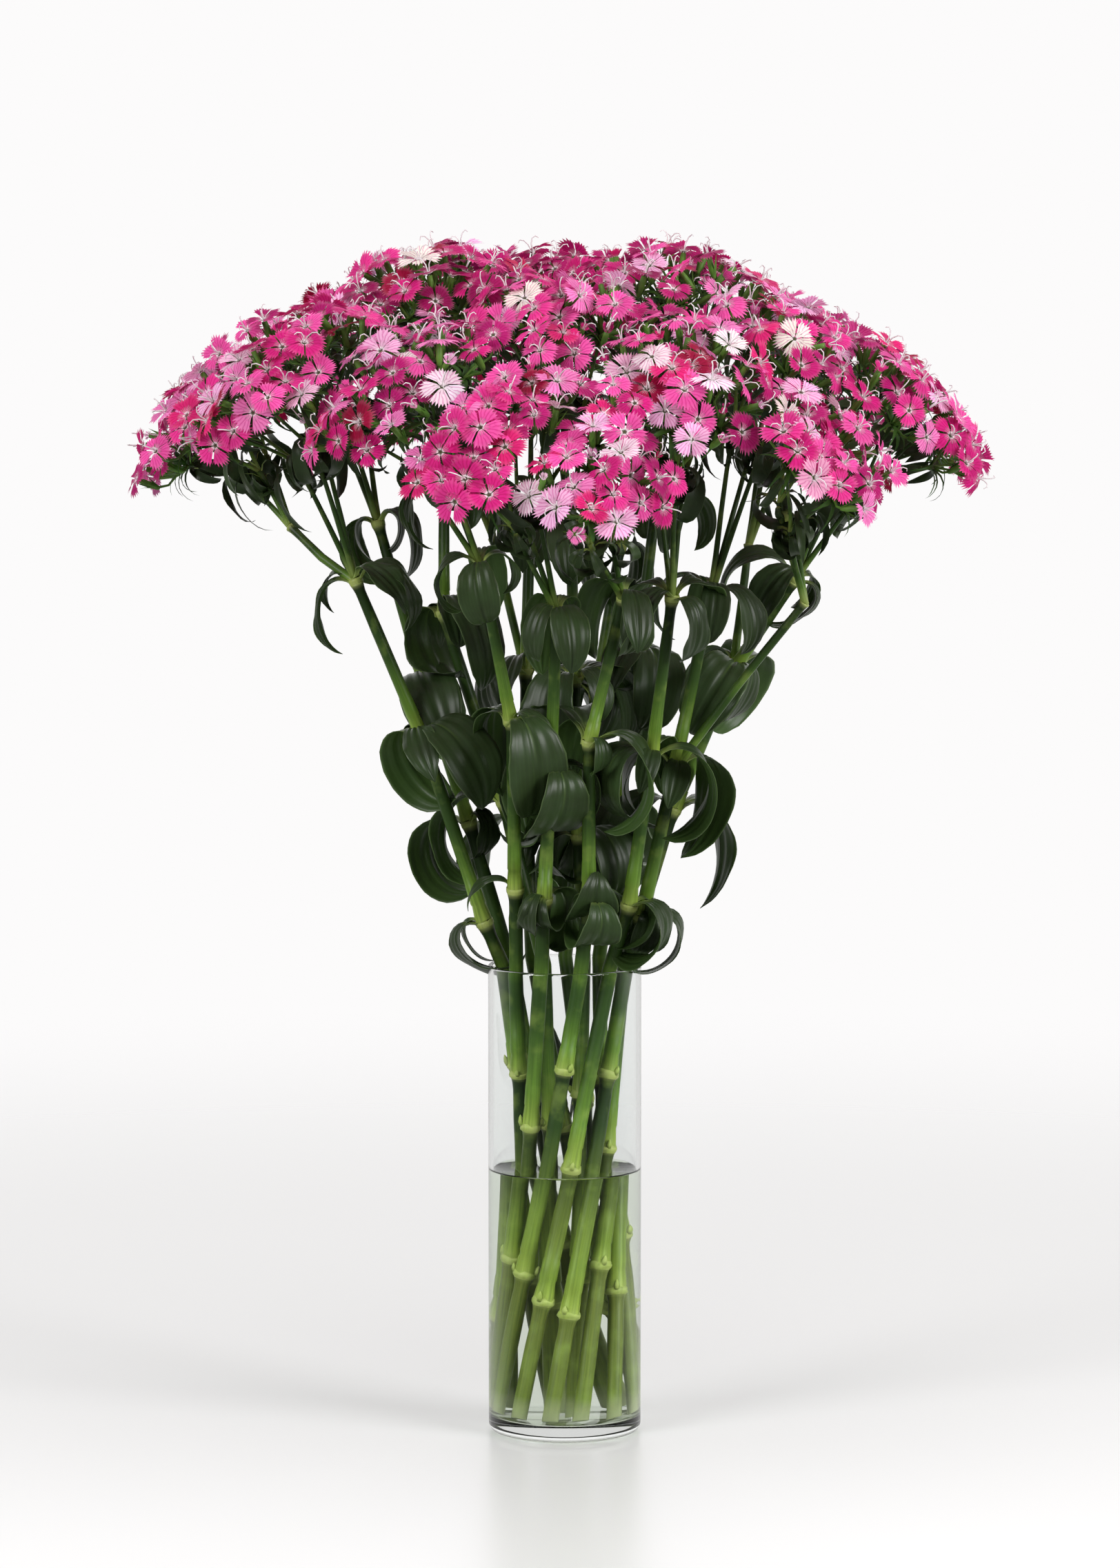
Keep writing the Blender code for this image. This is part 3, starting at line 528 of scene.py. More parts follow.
def petal_velvet(name):
    """Petal, thin and velvety: a white star in the eye, darker rays, and a lighter toothed edge."""
    made, tree = new_material(name)
    tint = add_node(tree, "ShaderNodeVertexColor", {"layer_name": "tint"})
    lie = add_node(tree, "ShaderNodeUVMap", {"uv_map": "Along"})
    ways = add_node(tree, "ShaderNodeSeparateXYZ", None, {0: lie})
    out_way = ways.outputs[1]
    # Rays fan out from the eye, about five to a petal: fewer than in life, so that they show
    rays = add_node(tree, "ShaderNodeTexWave", {
        "wave_type": "BANDS", "bands_direction": "X", "Scale": 1.75, "Distortion": 0.6, "Detail": 1.0},
        {"Vector": lie})
    fine = add_node(tree, "ShaderNodeMath", {"operation": "POWER", 1: 3.0}, {0: rays.outputs["Fac"]})
    some = add_node(tree, "ShaderNodeMath", {"operation": "MULTIPLY", 1: 0.75}, {0: fine})
    deeper = add_node(tree, "ShaderNodeMix", {
        "data_type": "RGBA", "blend_type": "MULTIPLY", 0: 1.0, 7: (0.74, 0.3, 0.56, 1.0)}, {6: tint})
    veined = add_node(tree, "ShaderNodeMix", {"data_type": "RGBA"}, {0: some, 6: tint, 7: deeper})
    margin = add_node(tree, "ShaderNodeMapRange", {
        "From Min": 0.7, "From Max": 1.0, "To Min": 0.0, "To Max": 0.12}, {0: out_way})
    lit = add_node(tree, "ShaderNodeMix", {"data_type": "RGBA", 7: rgba(linear("#FFD3E8"))}, {
        0: margin, 6: veined})
    # Dark marks between the arms of the star, three to a petal
    broad = add_node(tree, "ShaderNodeTexWave", {
        "wave_type": "BANDS", "bands_direction": "X", "Scale": 0.95, "Distortion": 0.3, "Phase Offset": 1.2},
        {"Vector": lie})
    sharp = add_node(tree, "ShaderNodeMath", {"operation": "POWER", 1: 6.0}, {0: broad.outputs["Fac"]})
    near = add_node(tree, "ShaderNodeMapRange", {
        "From Min": 0.5, "From Max": 0.34, "To Min": 0.0, "To Max": 0.65,
        "interpolation_type": "SMOOTHSTEP"}, {0: out_way})
    mark = add_node(tree, "ShaderNodeMath", {"operation": "MULTIPLY"}, {0: sharp, 1: near})
    marked = add_node(tree, "ShaderNodeMix", {"data_type": "RGBA", 7: rgba(linear("#7E1048"))}, {
        0: mark, 6: lit})
    core = add_node(tree, "ShaderNodeMapRange", {
        "From Min": 0.22, "From Max": 0.16, "To Min": 0.0, "To Max": 0.9}, {0: out_way})
    arms = add_node(tree, "ShaderNodeMapRange", {
        "From Min": 0.44, "From Max": 0.22, "To Min": 0.0, "To Max": 0.75}, {0: out_way})
    arm = add_node(tree, "ShaderNodeMath", {"operation": "MULTIPLY"}, {0: arms, 1: fine})
    star = add_node(tree, "ShaderNodeMath", {"operation": "MAXIMUM"}, {0: core, 1: arm})
    eyed = add_node(tree, "ShaderNodeMix", {"data_type": "RGBA", 7: rgba(linear("#F6E8EC"))}, {
        0: star, 6: marked})
    # The throat's dark green-brown is the claws' own green darkened with painted shade down the deep throat
    throat = add_node(tree, "ShaderNodeMapRange", {
        "From Min": 0.135, "From Max": 0.085, "To Min": 0.0, "To Max": 0.9}, {0: out_way})
    body = add_node(tree, "ShaderNodeMix", {"data_type": "RGBA", 7: rgba(linear("#43421F"))}, {
        0: throat, 6: eyed})
    bump = add_node(tree, "ShaderNodeBump", {"Strength": 0.3, "Distance": 0.0003}, {
        "Height": rays.outputs["Fac"]})
    shader = add_node(tree, "ShaderNodeBsdfPrincipled", {
        "Roughness": 0.62, "IOR": 1.4, "Specular IOR Level": 0.2, "Sheen Weight": 0.05,
        "Sheen Roughness": 0.5}, {
        "Base Color": body, "Normal": bump})
    glow = add_node(tree, "ShaderNodeBsdfTranslucent", None, {"Color": body})
    mix = add_node(tree, "ShaderNodeMixShader", {0: 0.2}, {1: shader, 2: glow})
    add_node(tree, "ShaderNodeOutputMaterial", None, {"Surface": mix})
    return made


def calyx_green(looks):
    """Calyx, bract and bloom stalk, thin and matt: fresh green, each a little yellower or darker."""
    made, tree = new_material("green_calyx_matt")
    tint = add_node(tree, "ShaderNodeVertexColor", {"layer_name": "tint"})
    body = add_node(tree, "ShaderNodeMix", {
        "data_type": "RGBA", "blend_type": "MULTIPLY", 0: 1.0, 6: rgba(looks.green)}, {7: tint})
    place = add_node(tree, "ShaderNodeTexCoord")
    # Darker spots about 5 mm across
    cloud = add_node(tree, "ShaderNodeTexNoise", {"Scale": 160.0, "Detail": 2.0}, {
        "Vector": place.outputs["Object"]})
    patch = add_node(tree, "ShaderNodeMapRange", {
        "From Min": 0.4, "From Max": 0.7, "To Min": 0.0, "To Max": 0.5}, {0: cloud})
    spotted = add_node(tree, "ShaderNodeMix", {"data_type": "RGBA", 7: rgba(linear("#24431B"))}, {
        0: patch, 6: body})
    shader = add_node(tree, "ShaderNodeBsdfPrincipled", {
        "Roughness": 0.5, "IOR": 1.42, "Specular IOR Level": 0.4}, {"Base Color": spotted})
    add_node(tree, "ShaderNodeOutputMaterial", None, {"Surface": shader})
    return made


# Vase and water

def select_edges(obj, wanted):
    """Selects the edges whose two ends pass the test, in edit mode."""
    bm = bmesh.from_edit_mesh(obj.data)
    bm.select_mode = {"EDGE"}
    for edge in bm.edges:
        edge.select_set(all(wanted(v.co) for v in edge.verts))
    bm.select_flush_mode()
    bmesh.update_edit_mesh(obj.data)


def select_face(obj, height, up):
    """Selects the flat face at a height that looks up or down, in edit mode."""
    bm = bmesh.from_edit_mesh(obj.data)
    bm.select_mode = {"FACE"}
    for face in bm.faces:
        middle = face.calc_center_median()
        face.select_set(
            abs(middle.z - height) < 1e-5 and face.normal.z * up > 0.9 and math.hypot(middle.x, middle.y) < 1e-4
        )
    bm.select_flush_mode()
    bmesh.update_edit_mesh(obj.data)


def ring_at(radius, height):
    def wanted(co):
        return abs(co.z - height) < 1e-5 and abs(math.hypot(co.x, co.y) - radius) < 1e-5
    return wanted


def cut_rings(heights):
    for height in heights:
        bpy.ops.mesh.select_all(action="SELECT")
        bpy.ops.mesh.bisect(plane_co=(0, 0, height), plane_no=(0, 0, 1))


def make_vase():
    """A closed cylinder, its inside sunk from the top, its rim, heel and inner floor rounded."""
    size = bpy.context.scene.dianthus_vase
    deselect()
    inner, down = size.radius - size.wall, size.height - size.floor
    bpy.ops.mesh.primitive_cylinder_add(
        vertices=128, radius=size.radius, depth=size.height, location=(0, 0, size.height / 2))
    obj = bpy.context.object
    obj.name = obj.data.name = "glass_vase"
    bpy.ops.object.transform_apply(location=True, rotation=True, scale=True)
    bpy.ops.object.mode_set(mode="EDIT")
    bpy.ops.mesh.select_mode(type="FACE")
    select_face(obj, size.height, 1)
    bpy.ops.mesh.inset(thickness=size.wall)
    bpy.ops.mesh.extrude_region_move(TRANSFORM_OT_translate={"value": (0, 0, -down)})
    select_face(obj, 0.0, -1)
    bpy.ops.mesh.inset(thickness=size.heel + 0.004)
    bpy.ops.mesh.inset(thickness=0.012)
    bpy.ops.transform.translate(value=(0, 0, 0.0016))
    bpy.ops.mesh.select_mode(type="EDGE")
    select_edges(obj, ring_at(size.radius, 0.0))
    bpy.ops.mesh.bevel(offset=size.heel, segments=8, profile=0.5)
    for radius in (size.radius, inner):
        select_edges(obj, ring_at(radius, size.height))
        bpy.ops.mesh.bevel(offset=0.0013, segments=4, profile=0.5)
    select_edges(obj, ring_at(inner, size.floor))
    bpy.ops.mesh.bevel(offset=0.0035, segments=6, profile=0.5)
    # Rings close to the rounded edges, so that the straight walls shade and refract straight
    cut_rings((size.height - 0.0019, size.floor + 0.0052, size.heel + 0.0007))
    bpy.ops.object.mode_set(mode="OBJECT")
    deselect()
    obj.select_set(True)
    bpy.ops.object.shade_smooth_by_angle(angle=math.radians(40))
    finish_piece(obj, clear_glass(), ["vase"])


def make_water():
    """A closed body of water, a hair wider than the inside of the glass, with a raised rim where it wets it."""
    size = bpy.context.scene.dianthus_vase
    deselect()
    over = 0.00008
    radius, low = size.radius - size.wall + over, size.floor - over
    bpy.ops.mesh.primitive_cylinder_add(
        vertices=128, radius=radius, depth=size.water - low, location=(0, 0, (size.water + low) / 2))
    obj = bpy.context.object
    obj.name = obj.data.name = "standing_water"
    bpy.ops.object.transform_apply(location=True, rotation=True, scale=True)
    bpy.ops.object.mode_set(mode="EDIT")
    bpy.ops.mesh.select_mode(type="FACE")
    select_face(obj, size.water, 1)
    bpy.ops.mesh.inset(thickness=0.0006)
    bpy.ops.transform.translate(value=(0, 0, -0.0007))
    bpy.ops.mesh.inset(thickness=0.0012)
    bpy.ops.transform.translate(value=(0, 0, -0.0006))
    bpy.ops.mesh.select_mode(type="EDGE")
    select_edges(obj, ring_at(radius, low))
    bpy.ops.mesh.bevel(offset=0.0035, segments=6, profile=0.5)
    cut_rings((size.floor + 0.0046,))
    bpy.ops.object.mode_set(mode="OBJECT")
    deselect()
    obj.select_set(True)
    bpy.ops.object.shade_smooth_by_angle(angle=math.radians(50))
    finish_piece(obj, still_water(), ["water"])


# Stalks

def stalk_nodes(name):
    """The corner points of a stalk from its foot to its fork, and which of them are knots."""
    foot, rim, inner, knots, _ = STEMS[name]
    foot, rim = np.array((*foot, 13.2)), np.array((*rim, 300.0))
    path, swollen = [foot], [False]
    for z in inner:
        path.append(foot + (rim - foot) * (z - 13.2) / 286.8)
        swollen.append(True)
    path.append(rim)
    swollen.append(False)
    for knot in knots:
        path.append(np.array(knot, float))
        swollen.append(True)
    return path, swollen


def stalk_radius(z):
    if z < 300:
        return 5.0 - 0.4 * z / 300
    return 4.6 - 1.1 * min(1.0, (z - 300) / 250)


def tangent_at(name, index):
    _, rim, _, knots, _ = STEMS[name]
    path = [np.array((*rim, 300.0))] + [np.array(k, float) for k in knots]
    before, here = path[index], path[index + 1]
    after = path[index + 2] if index + 2 < len(path) else here + (here - before)
    return unit(unit(here - before) + unit(after - here))


# Distance from a knot along the stalk, and how much wider the stalk is there
SWELLING = (
    (-14, 0.94), (-9, 0.93), (-6, 0.96), (-3.6, 1.03), (-1.6, 1.14), (0.3, 1.24), (2.0, 1.23), (4.0, 1.19),
    (8, 1.15), (16, 1.09), (28, 1.04),
)


def add_stalk(gather, path, swollen, radius_at, sides, seed):
    """One stalk: even between its knots, swollen below each, with a collar and a narrow neck above it."""
    chance = random.Random(seed)
    points, radii, marks = [], [], []
    for i in range(len(path) - 1):
        start, end = path[i], path[i + 1]
        span = float(np.linalg.norm(end - start))
        way = (end - start) / span
        stops = {0.0: 1.0}
        if swollen[i]:
            stops.update({d: w for d, w in SWELLING if 0 <= d < span / 2})
            stops.pop(0.0, None)
        steps = max(2, int(span / 14))
        for k in range(1, steps):
            stops.setdefault(round(span * k / steps, 2), 1.0)
        if swollen[i + 1]:
            stops = {d: w for d, w in stops.items() if d < span - 16}
            stops.update({span + d: w for d, w in SWELLING if -span / 2 < d < 0})
        knot_before = swollen[i]
        for d in sorted(stops):
            points.append(start + way * d)
            radii.append(radius_at(points[-1][2]) * stops[d] * (1 + 0.02 * chance.uniform(-1, 1)))
            near = 0.0
            if swollen[i]:
                near = max(near, math.exp(-(d / 3.4) ** 2))
            if swollen[i + 1]:
                near = max(near, math.exp(-((span - d) / 1.8) ** 2))
            share = d / span if knot_before else 0.35 + 0.65 * d / span
            if i + 1 < len(path) and not swollen[i + 1]:
                share = d / span * 0.8
            marks.append((min(1.0, share), near * 0.6, 0.0))
    points.append(path[-1])
    radii.append(radius_at(path[-1][2]) * 1.3)
    marks.append((0.0, 0.8, 0.0))
    marks[0] = (0.6, 0.0, 0.6)
    body, faces, along = sweep(points, radii, sides, slant=1.2)
    turn = np.tile(np.arange(sides) / sides, len(points))
    tints = np.repeat(np.array(marks), sides, axis=0)
    gather.add(body, faces, np.c_[turn, along], tints)


def make_stalks():
    made = stalk_green(bpy.context.scene.dianthus_stalk)
    for number, name in enumerate(STEMS):
        gather = Gather()
        path, swollen = stalk_nodes(name)
        add_stalk(gather, path, swollen, stalk_radius, 14, number)
        shoot = [np.array(p, float) for p in STEMS[name][4]]
        if shoot:
            add_stalk(gather, shoot, [True, False, True], lambda z: 2.7, 10, number + 50)
        for head, row in HEADS.items():
            if row[0] == name:
                for branch, thick, thin in branches(head):
                    radii = [thick * 1.3, thick, (thick + thin) / 2, thin, thin * 1.5]
                    body, faces, along = sweep(branch, radii, 7)
                    share = np.clip(along / 30.0, 0, 1)
                    near = np.exp(-(along / 4) ** 2) * 0.6
                    tints = np.c_[share * 0.55 + 0.1, near, np.zeros(len(along))]
                    turn = np.tile(np.arange(7) / 7, len(branch))
                    gather.add(body, faces, np.c_[turn, along], tints)
        add_collars(gather, name)
        add_scars(gather, name, random.Random(900 + number))
        obj = gather.build(f"stalk_{name[5:]}")
        finish_piece(obj, made, [name])


def add_collars(gather, name):
    """The joined leaf bases: a short pale sheath that stands round the stalk over each knot."""
    for index, knot in enumerate(STEMS[name][3]):
        way, here = tangent_at(name, index), np.array(knot, float)
        radius = stalk_radius(knot[2])
        path = [here + way * d for d in (-0.8, 0.4, 2.0, 3.4, 4.1, 3.2)]
        radii = [radius * s + g for s, g in ((1.1, 0), (1.26, 0.15), (1.25, 0.3), (1.2, 0.45), (1.12, 0.45), (0.9, 0))]
        body, faces, along = sweep(path, radii, 14, closed_ends=False)
        tints = np.tile((0.0, 0.6, 0.0), (len(body), 1))
        turn = np.tile(np.arange(14) / 14, len(path))
        gather.add(body, faces, np.c_[turn, along], tints)


def add_scars(gather, name, chance):
    """What the stripped leaves left at the knots in the vase: a ragged pale ring and small buds in the axils."""
    path, _ = stalk_nodes(name)
    way = unit(path[-4] - path[0])
    side, other = across(way)
    for place in path[1:3]:
        radius = stalk_radius(place[2])
        rings = [place + way * d for d in (-1.8, 0.1, 1.6, 2.8, 2.2)]
        body, faces, along = sweep(rings, [radius * w for w in (1.12, 1.4, 1.36, 1.3, 1.05)], 14, closed_ends=False)
        for k in range(14):
            body[14 + k] += way * chance.uniform(-0.5, 0.3)
            body[42 + k] += way * chance.uniform(-1.2, 1.6)
            for ring in (1, 2, 3):
                body[14 * ring + k] += (body[14 * ring + k] - rings[ring]) * chance.uniform(-0.05, 0.05)
        turn = np.tile(np.arange(14) / 14, 5)
        tints = np.c_[np.zeros(70), np.array([chance.uniform(0.25, 0.9) for _ in range(70)]), np.zeros(70)]
        gather.add(body, faces, np.c_[turn, along], tints)
        start = chance.uniform(0, 6.28)
        for k in range(2):
            aside = side * math.cos(start + math.pi * k) + other * math.sin(start + math.pi * k)
            foot, tall = place + aside * radius * 1.15 + way * 1.5, chance.uniform(3, 8)
            bud = [foot, foot + aside * 0.9 + way * tall * 0.4, foot + aside * 1.3 + way * tall * 0.75,
                   foot + aside * 1.5 + way * tall]
            body, faces, along = sweep(bud, [1.5, 1.8, 1.1, 0.2], 6)
            gather.add(body, faces, np.c_[np.zeros(24), along], (0.05, chance.uniform(0.2, 0.7), 0.0))


def head_frame(head):
    """Middle of the head's plate, its axis, and the two directions across it."""
    _, _, tip, tilt, _ = HEADS[head]
    around, lean = math.atan2(tip[1], tip[0]), math.radians(tilt)
    axis = np.array((math.sin(lean) * math.cos(around), math.sin(lean) * math.sin(around), math.cos(lean)))
    side, other = across(axis)
    return np.array(tip, float) - axis * PLATE_DEPTH, axis, side, other


def fork_of(head):
    row = STEMS[HEADS[head][0]]
    return np.array(row[3][-1] if HEADS[head][1] == 0 else row[4][-1], float)


PLANS = {}


def head_plan(head):
    """How a head branches: three joints over the fork, and on them tufts that carry the blooms.

    It gives (joint, [(tuft, its axis, the blooms' numbers)]) for each joint.
    """
    if not PLANS:
        places = bloom_places(bpy.context.scene.dianthus_bloom.spacing / MM)
        for name, spots in places.items():
            PLANS[name] = (spots, plan_of(name, spots))
    return PLANS[head]


def plan_of(head, spots):
    middle, axis, side, other = head_frame(head)
    fork, chance = fork_of(head), random.Random("joint" + head)
    at, rays = np.array([s[0] for s in spots]), np.array([s[1] for s in spots])
    many = max(3, round(len(spots) / 5.5))
    centres = [at[int(np.argmax(rays @ axis))]]
    while len(centres) < many:
        far = np.min([((at - c) ** 2).sum(axis=1) for c in centres], axis=0)
        centres.append(at[int(np.argmax(far))])
    for _ in range(4):
        owner = np.argmin([((at - c) ** 2).sum(axis=1) for c in centres], axis=0)
        centres = [at[owner == k].mean(axis=0) if (owner == k).any() else c for k, c in enumerate(centres)]
    groups = {0: [], 1: [], 2: []}
    for k in range(many):
        if not (owner == k).any():
            continue
        ray = unit(rays[owner == k].mean(axis=0))
        tuft = centres[k] - ray * 26 + np.array([chance.uniform(-3, 3) for _ in range(3)])
        away = tuft - middle
        turn = math.degrees(math.atan2(float(away @ other), float(away @ side))) % 360
        groups[int(turn // 120) % 3].append((tuft, ray, np.flatnonzero(owner == k)))
    out = []
    base = middle - (middle - fork) * 0.24
    for k, tufts in groups.items():
        if not tufts:
            continue
        turn = math.radians(120 * k + 60 + chance.uniform(-15, 15))
        aside = side * math.cos(turn) + other * math.sin(turn)
        out.append((base + aside * chance.uniform(9, 14) + axis * chance.uniform(-8, 6), tufts))
    return out


def branches(head):
    """The branches of a head as (path, thick, thin): fork to joint, then joint to tuft."""
    _, axis, _, _ = head_frame(head)
    fork, made = fork_of(head), []
    for joint, tufts in head_plan(head)[1]:
        run = unit(joint - fork)
        made.append((bent(fork - run, joint, run, run + axis * 0.3, 5, 0.3), 1.9, 1.5))
        for tuft, ray, _ in tufts:
            way = unit(tuft - joint)
            made.append((bent(joint - way, tuft, way + axis * 0.25, ray + way, 5, 0.3), 1.25, 1.0))
    return made


# Leaves

def leaf_template(across_lines, along_lines, thick=True):
    """A flat blade from a grid, grooved lengthwise, with its underside where it is thick."""
    deselect()
    bpy.ops.mesh.primitive_grid_add(
        x_subdivisions=across_lines, y_subdivisions=along_lines, size=2.0, location=(0, 0, 0))
    obj = bpy.context.object
    points = np.empty(len(obj.data.vertices) * 3)
    obj.data.vertices.foreach_get("co", points)
    points = points.reshape(-1, 3)
    if thick:
        solid = obj.modifiers.new("Thickness", "SOLIDIFY")
        solid.thickness, solid.offset = 1.0, -1.0
        bpy.ops.object.modifier_apply(modifier=solid.name)
    faces = [tuple(face.vertices) for face in obj.data.polygons]
    bpy.data.objects.remove(obj, do_unlink=True)
    # A midrib groove and one soft groove on each side of it, with quilted swells between
    u = points[:, 0]
    swell = 1.3 * np.abs(np.sin(math.pi * u / 0.46)) * (1 - 0.5 * np.abs(u))
    points[:, 2] = swell - 0.8 * np.exp(-(u / 0.09) ** 2)
    under = np.zeros(len(points))
    if thick:
        return np.vstack([points, points]), faces, np.r_[under, under + 1.0]
    return points, faces, under


STATIONS = (0.0, 0.05, 0.1, 0.16, 0.24, 0.34, 0.46, 0.58, 0.7, 0.8, 0.88, 0.94, 0.98, 1.0)
WIDTHS = (0.3, 0.21, 0.22, 0.36, 0.6, 0.84, 0.98, 1.0, 0.9, 0.7, 0.46, 0.26, 0.1, 0.0)
# How the turn of the curl is spread along a leaf that arches over and hangs
HANG = ((0.0, 0.06, 0.14, 0.22, 0.3, 0.4, 0.55, 0.72, 0.85, 0.93, 1.0),
        (0.0, 0.05, 0.2, 0.38, 0.52, 0.62, 0.69, 0.76, 0.85, 0.93, 1.0))


def bend_leaf(template, under, plan, centre, up, chance, thickness):
    """The flat blade bent along its curl: it leaves upward, arches over and hangs, its rim gently waved."""
    azimuth, long, wide, turn, drift = plan
    out = np.array((math.cos(math.radians(azimuth)), math.sin(math.radians(azimuth)), 0.0))
    out = unit(out - up * float(out @ up))
    side = unit(np.cross(up, out))
    rise, hang = 55.0 + chance.uniform(-8, 8), chance.uniform(0.35, 1.0)
    steps = 96
    spots, faces_up, ways = [centre + out * 1.6], [], []
    for k in range(steps + 1):
        s = k / steps
        bend = hang * float(np.interp(s, *HANG)) + (1 - hang) * s ** 1.15
        angle = math.radians(rise - turn * bend)
        way = unit(out * math.cos(angle) + up * math.sin(angle) + side * (drift * s))
        ways.append(way)
        faces_up.append(unit(up * math.cos(angle) - out * math.sin(angle)))
        if k < steps:
            spots.append(spots[-1] + way * long / steps)
    spots, faces_up = np.array(spots), np.array(faces_up)
    many = len(template)
    s = (template[:, 1] + 1) / 2
    u = template[:, 0]
    index = np.clip((s * steps).round().astype(int), 0, steps)
    half = wide / 2 * np.interp(s, STATIONS, WIDTHS)
    wave, phase, amount = chance.uniform(1.6, 2.6), chance.uniform(0, 6.28), chance.uniform(0.7, 2.2)
    if wide < 20:
        amount *= 0.4
    twist = np.radians(chance.uniform(-28, 28)) * s
    cup = half * (0.10 + 0.06 * chance.uniform(-1, 1)) * (np.abs(u) ** 1.7)
    ripple = amount * np.sin(2 * math.pi * wave * s + phase + 1.6 * np.sign(u)) * np.abs(u) ** 3 * np.sin(math.pi * s)
    groove = template[:, 2] * np.interp(s, (0, 0.1, 0.3, 0.85, 1.0), (0.2, 0.5, 1.0, 0.7, 0.0))
    if wide < 20:
        groove = groove * 0.45
    lift = cup + ripple + groove
    base = np.array([spots[i] for i in index])
    face = np.array([faces_up[i] for i in index])
    run = np.array([ways[i] for i in index])
    cross = np.cross(run, face)
    cross /= np.linalg.norm(cross, axis=1)[:, None]
    flip = np.sign((cross * side).sum(axis=1))[:, None]
    cross = cross * flip
    c, t = np.cos(twist)[:, None], np.sin(twist)[:, None]
    cross, face = cross * c + face * t, face * c - cross * t
    edge = 1 - 0.75 * np.abs(u) ** 4
    deep = under * thickness * edge * np.interp(s, (0, 0.15, 1), (2.2, 1.3, 0.5))
    points = base + cross * (half * u)[:, None] + face * (lift - deep)[:, None]
    return points, np.c_[(u + 1) / 2, s]


def add_leaf(gather, blade, plan, centre, up, chance, thickness):
    template, faces, under = blade
    points, uvs = bend_leaf(template, under, plan, centre, up, chance, thickness)
    age = chance.uniform(0.75, 1.2)
    gather.add(points, faces, uvs, np.c_[under, uvs[:, 1], np.full(len(points), age)])


def make_leaves():
    """The leaf pairs at the knots, small leaves in their axils, and narrow curled ones where the heads branch."""
    looks = bpy.context.scene.dianthus_leaf
    made = leaf_green(looks)
    broad, narrow = leaf_template(16, 26), leaf_template(4, 12, thick=False)
    thickness = looks.thickness / MM
    for number, name in enumerate(STEMS):
        gather = Gather()
        chance = random.Random(700 + number)
        for knot, azimuth, long, wide, turn, drift in LEAVES[name]:
            # The solids' leaves are kept small so that none crosses another: here they have their full size
            centre, up = np.array(STEMS[name][3][knot], float), tangent_at(name, knot)
            if wide > 20:
                grown, curl = (1.2, 1.0) if centre[2] > 345 else (1.0, 1.3)
                plan = (azimuth, long * grown, wide * grown, turn * curl * chance.uniform(0.84, 1.2), drift)
            else:
                plan = (azimuth, long * 1.45, wide * 1.62, turn, drift)
            add_leaf(gather, broad, plan, centre, up, chance, thickness)
        for knot in range(3):
            centre, up = np.array(STEMS[name][3][knot], float), tangent_at(name, knot)
            start = chance.uniform(0, 360)
            for k in range(2 if knot else 1):
                long = chance.uniform(44, 66)
                plan = (start + 170 * k, long, long * chance.uniform(0.3, 0.4), chance.uniform(140, 260),
                        chance.uniform(-0.15, 0.15))
                add_leaf(gather, broad, plan, centre + up * 3, up, chance, thickness)
        if name in NECK_LEAVES:
            path, _ = stalk_nodes(name)
            for azimuth in NECK_LEAVES[name]:
                plan = (azimuth, chance.uniform(62, 74), chance.uniform(12, 15), chance.uniform(-38, -26), 0.04)
                add_leaf(gather, broad, plan, path[2], unit(path[3] - path[2]), chance, thickness)
        for head, row in HEADS.items():
            if row[0] != name:
                continue
            fork = fork_of(head)
            for joint, tufts in head_plan(head)[1]:
                up = unit(joint - fork)
                start = chance.uniform(0, 360)
                for k in range(6):
                    plan = (start + 137 * k, chance.uniform(38, 64), chance.uniform(4, 13),
                            chance.uniform(190, 400), chance.uniform(-0.3, 0.3))
                    add_leaf(gather, narrow, plan, joint + up * (2.5 * k - 6), up, chance, thickness)
                for tuft, ray, _ in tufts:
                    for k in range(3):
                        plan = (start + 137 * k, chance.uniform(26, 46), chance.uniform(4, 8),
                                chance.uniform(120, 300), chance.uniform(-0.3, 0.3))
                        add_leaf(gather, narrow, plan, tuft - ray * 6, ray, chance, thickness)
        obj = gather.build(f"leaves_{name[5:]}")
        finish_piece(obj, made, [name])


# Blooms

def cap_centre(head):
    return np.array(HEADS[head][2], float) - head_frame(head)[1] * HEAD_CURVE


def bloom_places(spacing):
    """Where the blooms sit: spread over the heads' caps, outside the neighbouring caps, evenly spaced."""
    # The caps reach a little further than the solids', so that no gap shows between the heads
    frames = {h: (cap_centre(h), head_frame(h)[1], math.cos(math.radians(HEADS[h][4] + SPREAD.get(h, 8))))
              for h in HEADS}
    candidates = []
    for head in HEADS:
        _, axis, side, other = head_frame(head)
        centre, _, lowest = frames[head]
        for i in range(480):
            height = 1 - (1 - lowest) * (i + 0.5) / 480
            flat = math.sqrt(1 - height * height)
            turn = i * GOLDEN
            ray = axis * height + side * (flat * math.cos(turn)) + other * (flat * math.sin(turn))
            candidates.append((round(1 - height, 4), head, ray, centre + ray * HEAD_CURVE))
    candidates.sort(key=lambda c: (c[0], c[1]))
    found, taken = {head: [] for head in HEADS}, np.empty((0, 3))
    for _, head, ray, at in candidates:
        if len(taken) and ((taken - at) ** 2).sum(axis=1).min() < spacing ** 2:
            continue
        hidden = False
        for other_head, (centre, axis, lowest) in frames.items():
            away = at - centre
            far = float(np.linalg.norm(away))
            if other_head != head and far < HEAD_CURVE - 3 and float(away @ axis) > far * lowest:
                hidden = True
                break
        if hidden:
            continue
        found[head].append((at, ray))
        taken = np.vstack([taken, at])
    return found


